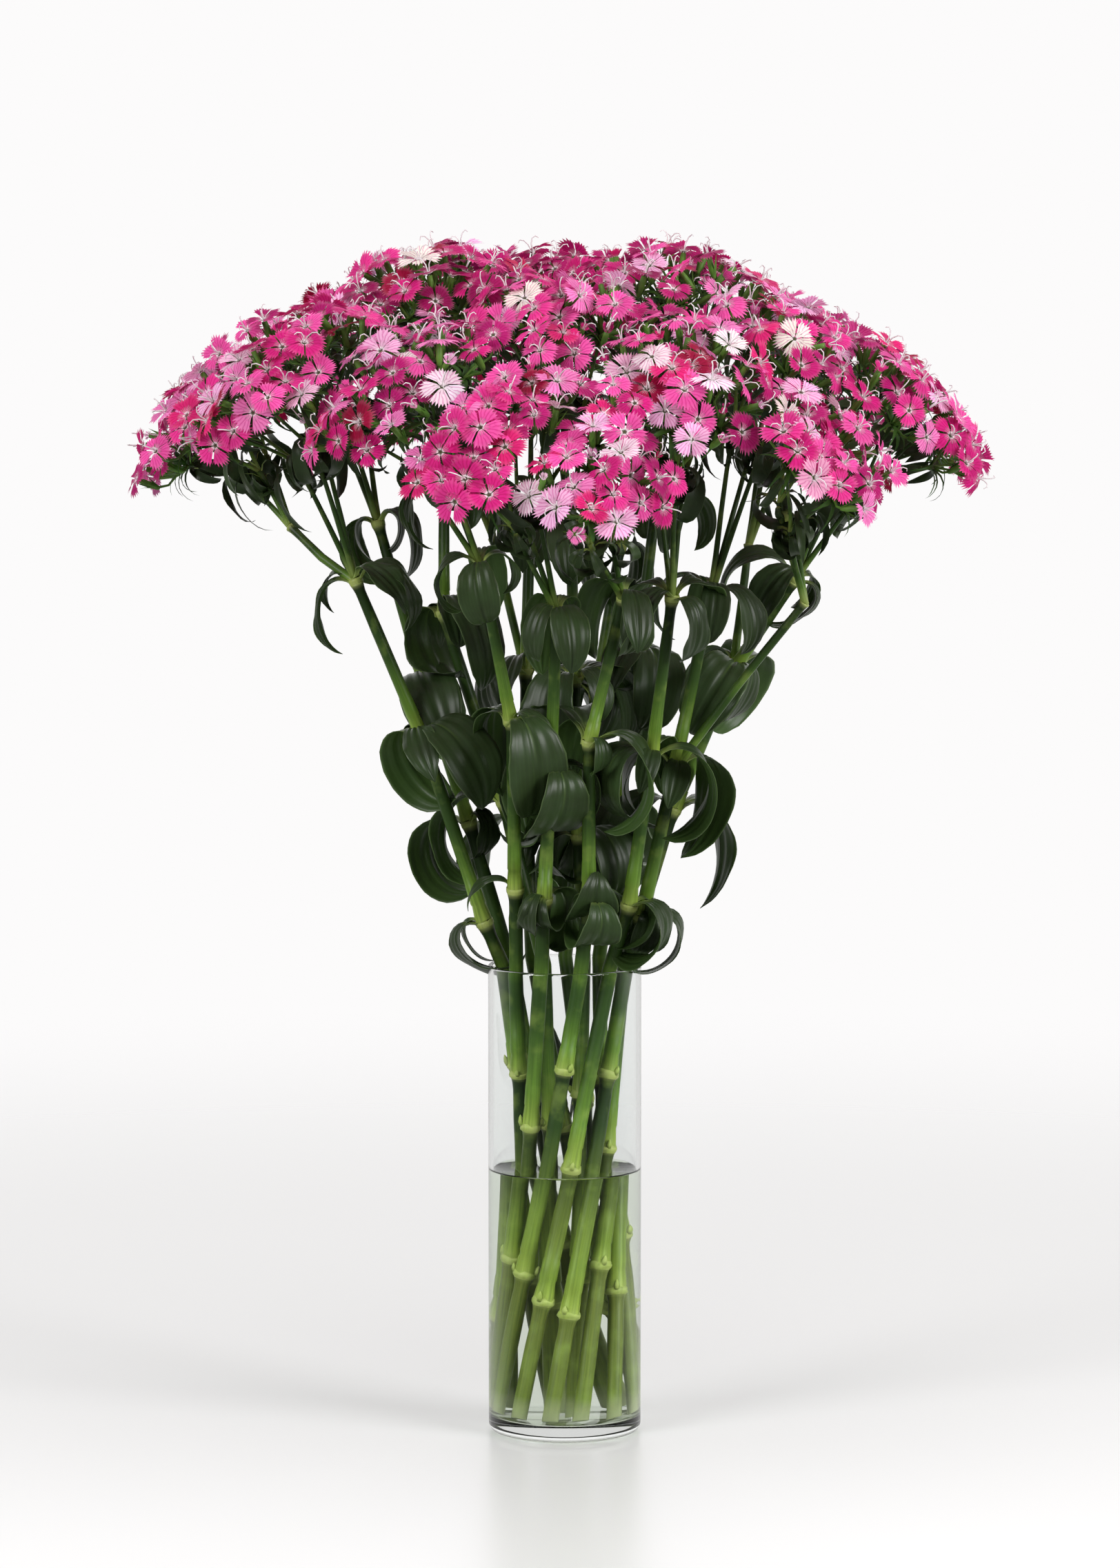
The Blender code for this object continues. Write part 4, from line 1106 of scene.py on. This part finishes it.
def petal_kinds():
    """Six toothed petal outlines as rows of (radius, angle) from the throat to the fringed edge."""
    kinds = []
    for kind in range(6):
        chance = random.Random(40 + kind)
        rows = [[(0.5, -34), (0.5, 34)], [(3.8, a) for a in (-29, 0, 29)],
                [(9.0, a) for a in (-32, -17, 0, 17, 32)]]
        rim = []
        for k in range(17):
            angle = -35 + 70 * k / 16 + chance.uniform(-0.8, 0.8)
            reach = 13.8 * (1 - 0.13 * (angle / 35) ** 2)
            reach += chance.uniform(-0.5, 1.0) if k % 2 == 0 else -chance.uniform(1.9, 3.2)
            rim.append((reach, angle))
        rows.append(rim)
        flat = [p for row in rows for p in row]
        starts = [0, 2, 5, 10]
        faces = [(0, 2, 3, 4, 1), (2, 5, 6, 7, 3), (3, 7, 8, 9, 4)]
        for j in range(4):
            faces.append((5 + j, *[10 + 4 * j + m for m in range(5)], 6 + j))
        kinds.append((np.array(flat, float), faces, starts))
    return kinds


def add_bloom(gather, kinds, at, side, other, up, size, tint, chance):
    """Five petals, each with its own droop and ruffle, laid over one another like a pinwheel."""
    spin = chance.uniform(0, 72)
    openness = chance.gauss(0.0, 0.12)
    if chance.random() < 0.12:
        # A bud that is only opening
        openness, size = chance.uniform(0.85, 1.25), size * chance.uniform(0.25, 0.6)
        at = at - up * 2.5
    for k in range(5):
        polar, faces, _ = kinds[chance.randrange(len(kinds))]
        r, a = polar[:, 0], np.radians(polar[:, 1])
        lean = min(1.35, openness + chance.gauss(0, 0.13))
        turn = math.radians(spin + 72 * k + chance.uniform(-3, 3))
        out = np.maximum(r - 3.6, 0)
        z = np.where(r < 3, -2.4, np.where(r < 5, -0.4, 0)) + out * math.sin(lean) - 0.014 * out ** 2
        z = z + np.degrees(a) / 37 * 0.5 * np.clip((r - 1) / 6, 0, 1)
        z = z + 1.15 * np.sin(a * 5 + chance.uniform(0, 6.28)) * (r / 13.5) ** 2
        reach = (np.minimum(r, 3.6) + out * math.cos(lean)) * size * (1 + 0.04 * chance.uniform(-1, 1))
        x, y = reach * np.cos(a + turn), reach * np.sin(a + turn)
        points = at + x[:, None] * side + y[:, None] * other + (z * size)[:, None] * up
        shade = np.asarray(tint) * (1 + 0.16 * chance.uniform(-1, 1))
        gather.add(points, faces, np.c_[np.degrees(a) / 74 + 0.5, r / 13.6], np.clip(shade, 0, 1))


def add_styles(gather, at, side, other, up, size, chance):
    """Two thin white styles that rise from the throat and curl outward."""
    start = chance.uniform(0, 6.28)
    for k in range(2):
        turn = start + math.pi * k + chance.uniform(-0.5, 0.5)
        aside = side * math.cos(turn) + other * math.sin(turn)
        reach = size * chance.uniform(0.8, 1.15)
        path = [at + aside * (x * reach) + up * (z * reach)
                for x, z in ((0.3, -1.5), (1.0, 3.4), (2.8, 6.6), (5.4, 7.6), (7.0, 6.0))]
        body, faces, _ = sweep(path, [0.5, 0.48, 0.44, 0.4, 0.3], 3, closed_ends=False)
        gather.add(body, faces, np.tile((0.5, 0.26), (len(body), 1)), (0.94, 0.9, 0.9))


def camera_spot(at):
    """Where a point lands in the vertical plane through the vase's axis, seen from the camera, in mm."""
    eye = np.array((-3.0, -4500.0, 921.0))
    share = (0 - eye[1]) / (at[1] - eye[1])
    return eye[0] + (at[0] - eye[0]) * share, eye[2] + (at[2] - eye[2]) * share


def marked_tints(places):
    """The blooms that stand out from the front, each the one nearest its spot that faces the camera."""
    chosen = {}
    for x, z, hex_colour in MARKED:
        best = None
        for head, spots in places.items():
            for i, (at, ray) in enumerate(spots):
                seen = camera_spot(at)
                apart = math.hypot(seen[0] - x, seen[1] - z)
                if apart > 26 or (head, i) in chosen:
                    continue
                score = apart + 0.35 * at[1] * 0.3
                if best is None or score < best[0]:
                    best = (score, (head, i))
        if best:
            chosen[best[1]] = linear(hex_colour)
    return chosen


def pick(chance, table):
    mark = chance.uniform(0, sum(share for _, share in table))
    for value, share in table:
        mark -= share
        if mark <= 0:
            return value
    return table[-1][0]


def make_blooms():
    looks = bpy.context.scene.dianthus_bloom
    kinds = petal_kinds()
    places = {head: head_plan(head)[0] for head in HEADS}
    marked = marked_tints(places)
    for number, (head, spots) in enumerate(places.items()):
        chance = random.Random(100 + number)
        gather = Gather()
        for i, (at, ray) in enumerate(spots):
            up, side, other, seat = bloom_frame(at, ray, i, number)
            size = looks.radius / MM / 13.4 * chance.uniform(0.86, 1.12)
            # Half the blooms of the back and top stems are deeper pinks, partly painted shade on the back of the bunch
            table = DEEP_AND_SHADED_PETALS if head in DEEP_AND_SHADED_HEADS and chance.random() < 0.5 else PETALS
            tint = marked.get((head, i), linear(pick(chance, table)))
            add_bloom(gather, kinds, seat, side, other, up, size, tint, chance)
            if chance.random() < 0.66:
                add_styles(gather, seat, side, other, up, size, chance)
        obj = gather.build(f"petals_{head[5:]}")
        finish_piece(obj, petal_velvet(f"petal_velvet_{head[5:]}"), [head])
    print("blooms", sum(len(s) for s in places.values()))


def bloom_frame(at, ray, i, number):
    """A bloom's own direction and seat: turned a little off the cap and set a little higher or lower."""
    chance = random.Random(1000 * number + int(i))
    side, other = across(ray)
    up = unit(ray + side * chance.gauss(0, 0.33) + other * chance.gauss(0, 0.33) + np.array((0, 0, 0.06)))
    side, other = across(up)
    return up, side, other, at + ray * chance.choice((-12.0, -8.0, -4.0, -1.0, 1.0, 3.0)) * 0.85


def make_heads():
    """Under the blooms: calyx tubes, their thin stalks and the pointed bracts of every tuft."""
    looks = bpy.context.scene.dianthus_bloom
    made = calyx_green(looks)
    tube_length = looks.calyx / MM
    for number, head in enumerate(HEADS):
        chance = random.Random(300 + number)
        gather = Gather()
        spots, plan = head_plan(head)
        for joint, tufts in plan:
            for tuft, ray, owned in tufts:
                for i in owned:
                    up, side, other, seat = bloom_frame(*spots[i], i, number)
                    shade = np.array((1.0, 1.0, 0.9)) * chance.uniform(0.75, 1.2)
                    foot = seat - up * tube_length
                    path = [foot - up * 1.5, foot, seat - up * 12, seat - up * 7, seat - up * 3.2]
                    body, faces, _ = sweep(path, [0.9, 1.7, 2.2, 2.0, 1.8], 6)
                    gather.add(body, faces, None, shade)
                    way = unit(foot - tuft)
                    stalk = bent(tuft, foot, way + ray * 0.4, up, 4)
                    body, faces, _ = sweep(stalk, [1.1, 0.85, 0.8, 0.9], 5, closed_ends=False)
                    gather.add(body, faces, None, shade * 0.9)
                    for k in range(3):
                        turn = chance.uniform(0, 6.28)
                        aside = side * math.cos(turn) + other * math.sin(turn)
                        add_blade(gather, foot + aside * 1.5, aside, up, chance.uniform(9, 17), 2.2,
                                  chance.uniform(62, 84), chance.uniform(-10, 45), 3, shade * (0.8, 0.95, 0.8))
                side, other = across(ray)
                # The tuft's bracts are dark green, partly their own colour and partly painted shade where they sit
                # under the blooms
                for k in range(9):
                    turn = 6.28 * k / 9 + chance.uniform(-0.4, 0.4)
                    aside = side * math.cos(turn) + other * math.sin(turn)
                    shade = np.array((0.42, 0.58, 0.42)) * chance.uniform(0.6, 1.1)
                    add_blade(gather, tuft + aside * 0.8, aside, ray, chance.uniform(16, 34), 3.0,
                              chance.uniform(15, 60), chance.uniform(60, 170), 7, shade)
        obj = gather.build(f"calyces_{head[5:]}")
        finish_piece(obj, made, [head])


def add_blade(gather, base, aside, up, long, wide, rise, turn, steps, shade):
    """A narrow keeled scale or bract that leaves at its rise and curls over by its turn, to a point."""
    flank = np.cross(up, aside)
    at, rows = np.array(base, float), []
    for k in range(steps):
        t = k / steps
        angle = math.radians(rise - turn * t)
        way = aside * math.cos(angle) + up * math.sin(angle)
        face = up * math.cos(angle) - aside * math.sin(angle)
        half = wide / 2 * (0.75 + 0.5 * math.sin(math.pi * min(1.0, t * 1.5)) - 0.5 * t)
        rows += [at - flank * half + face * 0.25 * half, at - face * 0.15 * half, at + flank * half + face * 0.25 * half]
        at = at + way * (long / steps)
    rows.append(at)
    faces = []
    for k in range(steps - 1):
        a = 3 * k
        faces += [(a, a + 1, a + 4, a + 3), (a + 1, a + 2, a + 5, a + 4)]
    last = 3 * (steps - 1)
    faces += [(last, last + 1, last + 3), (last + 1, last + 2, last + 3)]
    gather.add(rows, faces, None, shade)


# Stage

def floor_white(looks):
    """Smooth painted studio floor: pale grey, a faint blurred mirror under the vase, gone into the white."""
    made, tree = new_material("studio_floor_painted_satin")
    out = add_node(tree, "ShaderNodeOutputMaterial")
    place = add_node(tree, "ShaderNodeTexCoord")
    far = add_node(tree, "ShaderNodeVectorMath", {"operation": "LENGTH"}, {0: place.outputs["Object"]})
    fade = add_node(tree, "ShaderNodeMapRange", {
        "From Min": 0.28, "From Max": 1.9, "To Min": 0.0, "To Max": 1.0,
        "interpolation_type": "SMOOTHSTEP"}, {0: far.outputs["Value"]})
    grain = add_node(tree, "ShaderNodeTexNoise", {"Scale": 900.0, "Detail": 2.0}, {
        "Vector": place.outputs["Object"]})
    bump = add_node(tree, "ShaderNodeBump", {"Strength": 0.05, "Distance": 0.0002}, {
        "Height": grain.outputs["Fac"]})
    shader = add_node(tree, "ShaderNodeBsdfPrincipled", {
        "Base Color": rgba(looks.floor), "Roughness": 0.3, "IOR": 1.45}, {"Normal": bump.outputs[0]})
    clear = add_node(tree, "ShaderNodeBsdfTransparent")
    # Gloss mirrors next to nothing of the floor, as in a studio that is dark towards the camera
    path = add_node(tree, "ShaderNodeLightPath")
    mirrored = add_node(tree, "ShaderNodeMath", {"operation": "MINIMUM", 1: 0.96}, {
        0: path.outputs["Glossy Depth"]})
    gone = add_node(tree, "ShaderNodeMath", {"operation": "MAXIMUM"}, {0: fade, 1: mirrored})
    mix = add_node(tree, "ShaderNodeMixShader", None, {0: gone, 1: shader, 2: clear})
    tree.links.new(mix.outputs[0], out.inputs["Surface"])
    return made


def soft_light(name, place, target, size, power):
    data = bpy.data.lights.new(name, "AREA")
    data.shape = "RECTANGLE"
    data.size, data.size_y = size
    data.energy = power
    lamp = bpy.data.objects.new(name, data)
    lamp.location = place
    lamp.rotation_euler = (Vector(target) - Vector(place)).to_track_quat("-Z", "Y").to_euler()
    lamp.visible_transmission = False
    bpy.context.scene.collection.objects.link(lamp)


def make_stage():
    looks = bpy.context.scene.dianthus_stage
    deselect()
    bpy.ops.mesh.primitive_circle_add(vertices=96, radius=looks.reach, fill_type="NGON", location=(0, 0, 0))
    floor = bpy.context.object
    floor.name = floor.data.name = "studio_floor"
    bpy.ops.object.mode_set(mode="EDIT")
    bpy.ops.mesh.select_all(action="SELECT")
    bpy.ops.mesh.inset(thickness=looks.reach * 0.4)
    bpy.ops.object.mode_set(mode="OBJECT")
    floor.data.materials.append(floor_white(looks))

    world = bpy.data.worlds.new("studio")
    bpy.context.scene.world = world
    world.use_nodes = True
    tree = world.node_tree
    for node in list(tree.nodes):
        tree.nodes.remove(node)
    out = add_node(tree, "ShaderNodeOutputWorld")
    path = add_node(tree, "ShaderNodeLightPath")
    bounced = add_node(tree, "ShaderNodeMath", {"operation": "ADD"}, {
        0: path.outputs["Diffuse Depth"], 1: path.outputs["Glossy Depth"]})
    clean = add_node(tree, "ShaderNodeMath", {"operation": "LESS_THAN", 1: 0.5}, {0: bounced})
    sight = add_node(tree, "ShaderNodeMath", {"operation": "MAXIMUM"}, {
        0: path.outputs["Is Camera Ray"], 1: path.outputs["Is Transmission Ray"]})
    # Straight sight, also through clear glass and water, meets the white backdrop
    seen = add_node(tree, "ShaderNodeMath", {"operation": "MULTIPLY"}, {0: clean, 1: sight})
    # The white paper behind lights more than the dim room before it, which gloss shows as almost black
    place = add_node(tree, "ShaderNodeTexCoord")
    ways = add_node(tree, "ShaderNodeSeparateXYZ", None, {0: place.outputs["Generated"]})
    fill = add_node(tree, "ShaderNodeMapRange", {
        "From Min": -0.6, "From Max": 0.5, "To Min": 0.2, "To Max": 0.55}, {0: ways.outputs[1]})
    gloss = add_node(tree, "ShaderNodeMapRange", {
        "From Min": -0.1, "From Max": 0.7, "To Min": 0.02, "To Max": 0.8}, {0: ways.outputs[1]})
    glance = add_node(tree, "ShaderNodeMath", {"operation": "MAXIMUM"}, {
        0: path.outputs["Is Glossy Ray"], 1: path.outputs["Is Transmission Ray"]})
    share = add_node(tree, "ShaderNodeMix", {"data_type": "FLOAT"}, {0: glance, 2: fill, 3: gloss})
    # Light that falls through the glass is counted once, by the shadow's way
    dull = add_node(tree, "ShaderNodeMath", {"operation": "LESS_THAN", 1: 0.5}, {
        0: path.outputs["Diffuse Depth"]})
    direct = add_node(tree, "ShaderNodeMath", {"operation": "SUBTRACT", 0: 1.0}, {
        1: path.outputs["Is Transmission Ray"]})
    once = add_node(tree, "ShaderNodeMath", {"operation": "MAXIMUM"}, {0: dull, 1: direct})
    kept = add_node(tree, "ShaderNodeMath", {"operation": "MULTIPLY"}, {0: share, 1: once})
    soft = add_node(tree, "ShaderNodeBackground", {"Color": rgba(linear("#F7F6F5"))}, {"Strength": kept})
    shown = add_node(tree, "ShaderNodeBackground", {"Color": rgba(looks.sky), "Strength": 1.0})
    mix = add_node(tree, "ShaderNodeMixShader", None, {0: seen, 1: soft, 2: shown})
    tree.links.new(mix.outputs[0], out.inputs["Surface"])

    soft_light("left_softbox", (-2.1, -1.9, 1.5), (0, 0, 0.45), (1.3, 1.6), 50)
    soft_light("right_softbox", (2.2, -1.5, 1.3), (0, 0, 0.45), (1.3, 1.6), 57)
    soft_light("top_softbox", (0.1, -0.4, 2.4), (0, 0, 0.5), (1.8, 1.5), 18)
    soft_light("back_softbox", (0.2, 2.3, 1.6), (0, 0, 0.5), (2.4, 1.6), 13)

    bpy.context.scene.view_settings.view_transform = "Standard"
    data = bpy.data.cameras.new("camera")
    data.sensor_width = 36.0
    data.lens = 10400 / 2274 * 36
    data.clip_start, data.clip_end = 0.1, 50.0
    data.dof.use_dof = False
    camera = bpy.data.objects.new("camera", data)
    camera.location = (-0.003, -4.5, 0.921)
    camera.rotation_euler = (math.radians(90 - 6.42), 0.0, 0.0)
    bpy.context.scene.collection.objects.link(camera)
    bpy.context.scene.camera = camera


# Operators and panel

class DIANTHUS_OT_stage(bpy.types.Operator):
    """Add the pale studio floor, the soft lights and the camera"""
    bl_idname = "dianthus.stage"
    bl_label = "Stage"

    def execute(self, context):
        make_stage()
        return {"FINISHED"}


class DIANTHUS_OT_vase(bpy.types.Operator):
    """Model the glass cylinder vase"""
    bl_idname = "dianthus.vase"
    bl_label = "Glass Vase"

    def execute(self, context):
        make_vase()
        return {"FINISHED"}


class DIANTHUS_OT_water(bpy.types.Operator):
    """Model the water that stands in the vase"""
    bl_idname = "dianthus.water"
    bl_label = "Water"

    def execute(self, context):
        make_water()
        return {"FINISHED"}


class DIANTHUS_OT_stalks(bpy.types.Operator):
    """Model the thirteen stalks with their knots, collars, side shoots and branches"""
    bl_idname = "dianthus.stalks"
    bl_label = "Stalks"

    def execute(self, context):
        make_stalks()
        return {"FINISHED"}


class DIANTHUS_OT_leaves(bpy.types.Operator):
    """Model the curled leaves"""
    bl_idname = "dianthus.leaves"
    bl_label = "Leaves"

    def execute(self, context):
        make_leaves()
        return {"FINISHED"}


class DIANTHUS_OT_blooms(bpy.types.Operator):
    """Model the petals and styles of the seventeen flower heads"""
    bl_idname = "dianthus.blooms"
    bl_label = "Blooms"

    def execute(self, context):
        make_blooms()
        return {"FINISHED"}


class DIANTHUS_OT_heads(bpy.types.Operator):
    """Model the calyx tubes, bloom stalks and bracts under the blooms"""
    bl_idname = "dianthus.heads"
    bl_label = "Calyces and Bracts"

    def execute(self, context):
        make_heads()
        return {"FINISHED"}


class DIANTHUS_PT_panel(bpy.types.Panel):
    bl_idname = "DIANTHUS_PT_panel"
    bl_label = "Dianthus Bunch"
    bl_space_type = "VIEW_3D"
    bl_region_type = "UI"
    bl_category = "Dianthus"

    def draw(self, context):
        for name, _, operators in SECTIONS:
            box = self.layout.box()
            group = getattr(context.scene, name)
            for key in group.bl_rna.properties.keys():
                if key not in ("rna_type", "name"):
                    box.prop(group, key)
            for operator in operators:
                box.operator(operator.bl_idname)


SECTIONS = (
    ("dianthus_vase", VaseSettings, (DIANTHUS_OT_vase, DIANTHUS_OT_water)),
    ("dianthus_stalk", StalkSettings, (DIANTHUS_OT_stalks,)),
    ("dianthus_leaf", LeafSettings, (DIANTHUS_OT_leaves,)),
    ("dianthus_bloom", BloomSettings, (DIANTHUS_OT_blooms, DIANTHUS_OT_heads)),
    ("dianthus_stage", StageSettings, (DIANTHUS_OT_stage,)),
)


def register():
    for name, group, operators in SECTIONS:
        bpy.utils.register_class(group)
        setattr(bpy.types.Scene, name, bpy.props.PointerProperty(type=group))
        for operator in operators:
            bpy.utils.register_class(operator)
    bpy.utils.register_class(DIANTHUS_PT_panel)


def unregister():
    bpy.utils.unregister_class(DIANTHUS_PT_panel)
    for name, group, operators in reversed(SECTIONS):
        for operator in operators:
            bpy.utils.unregister_class(operator)
        delattr(bpy.types.Scene, name)
        bpy.utils.unregister_class(group)


def main():
    register()
    for step in ("vase", "water", "stalks", "leaves", "blooms", "heads", "stage"):
        getattr(bpy.ops.dianthus, step)()


if __name__ == "__main__":
    main()
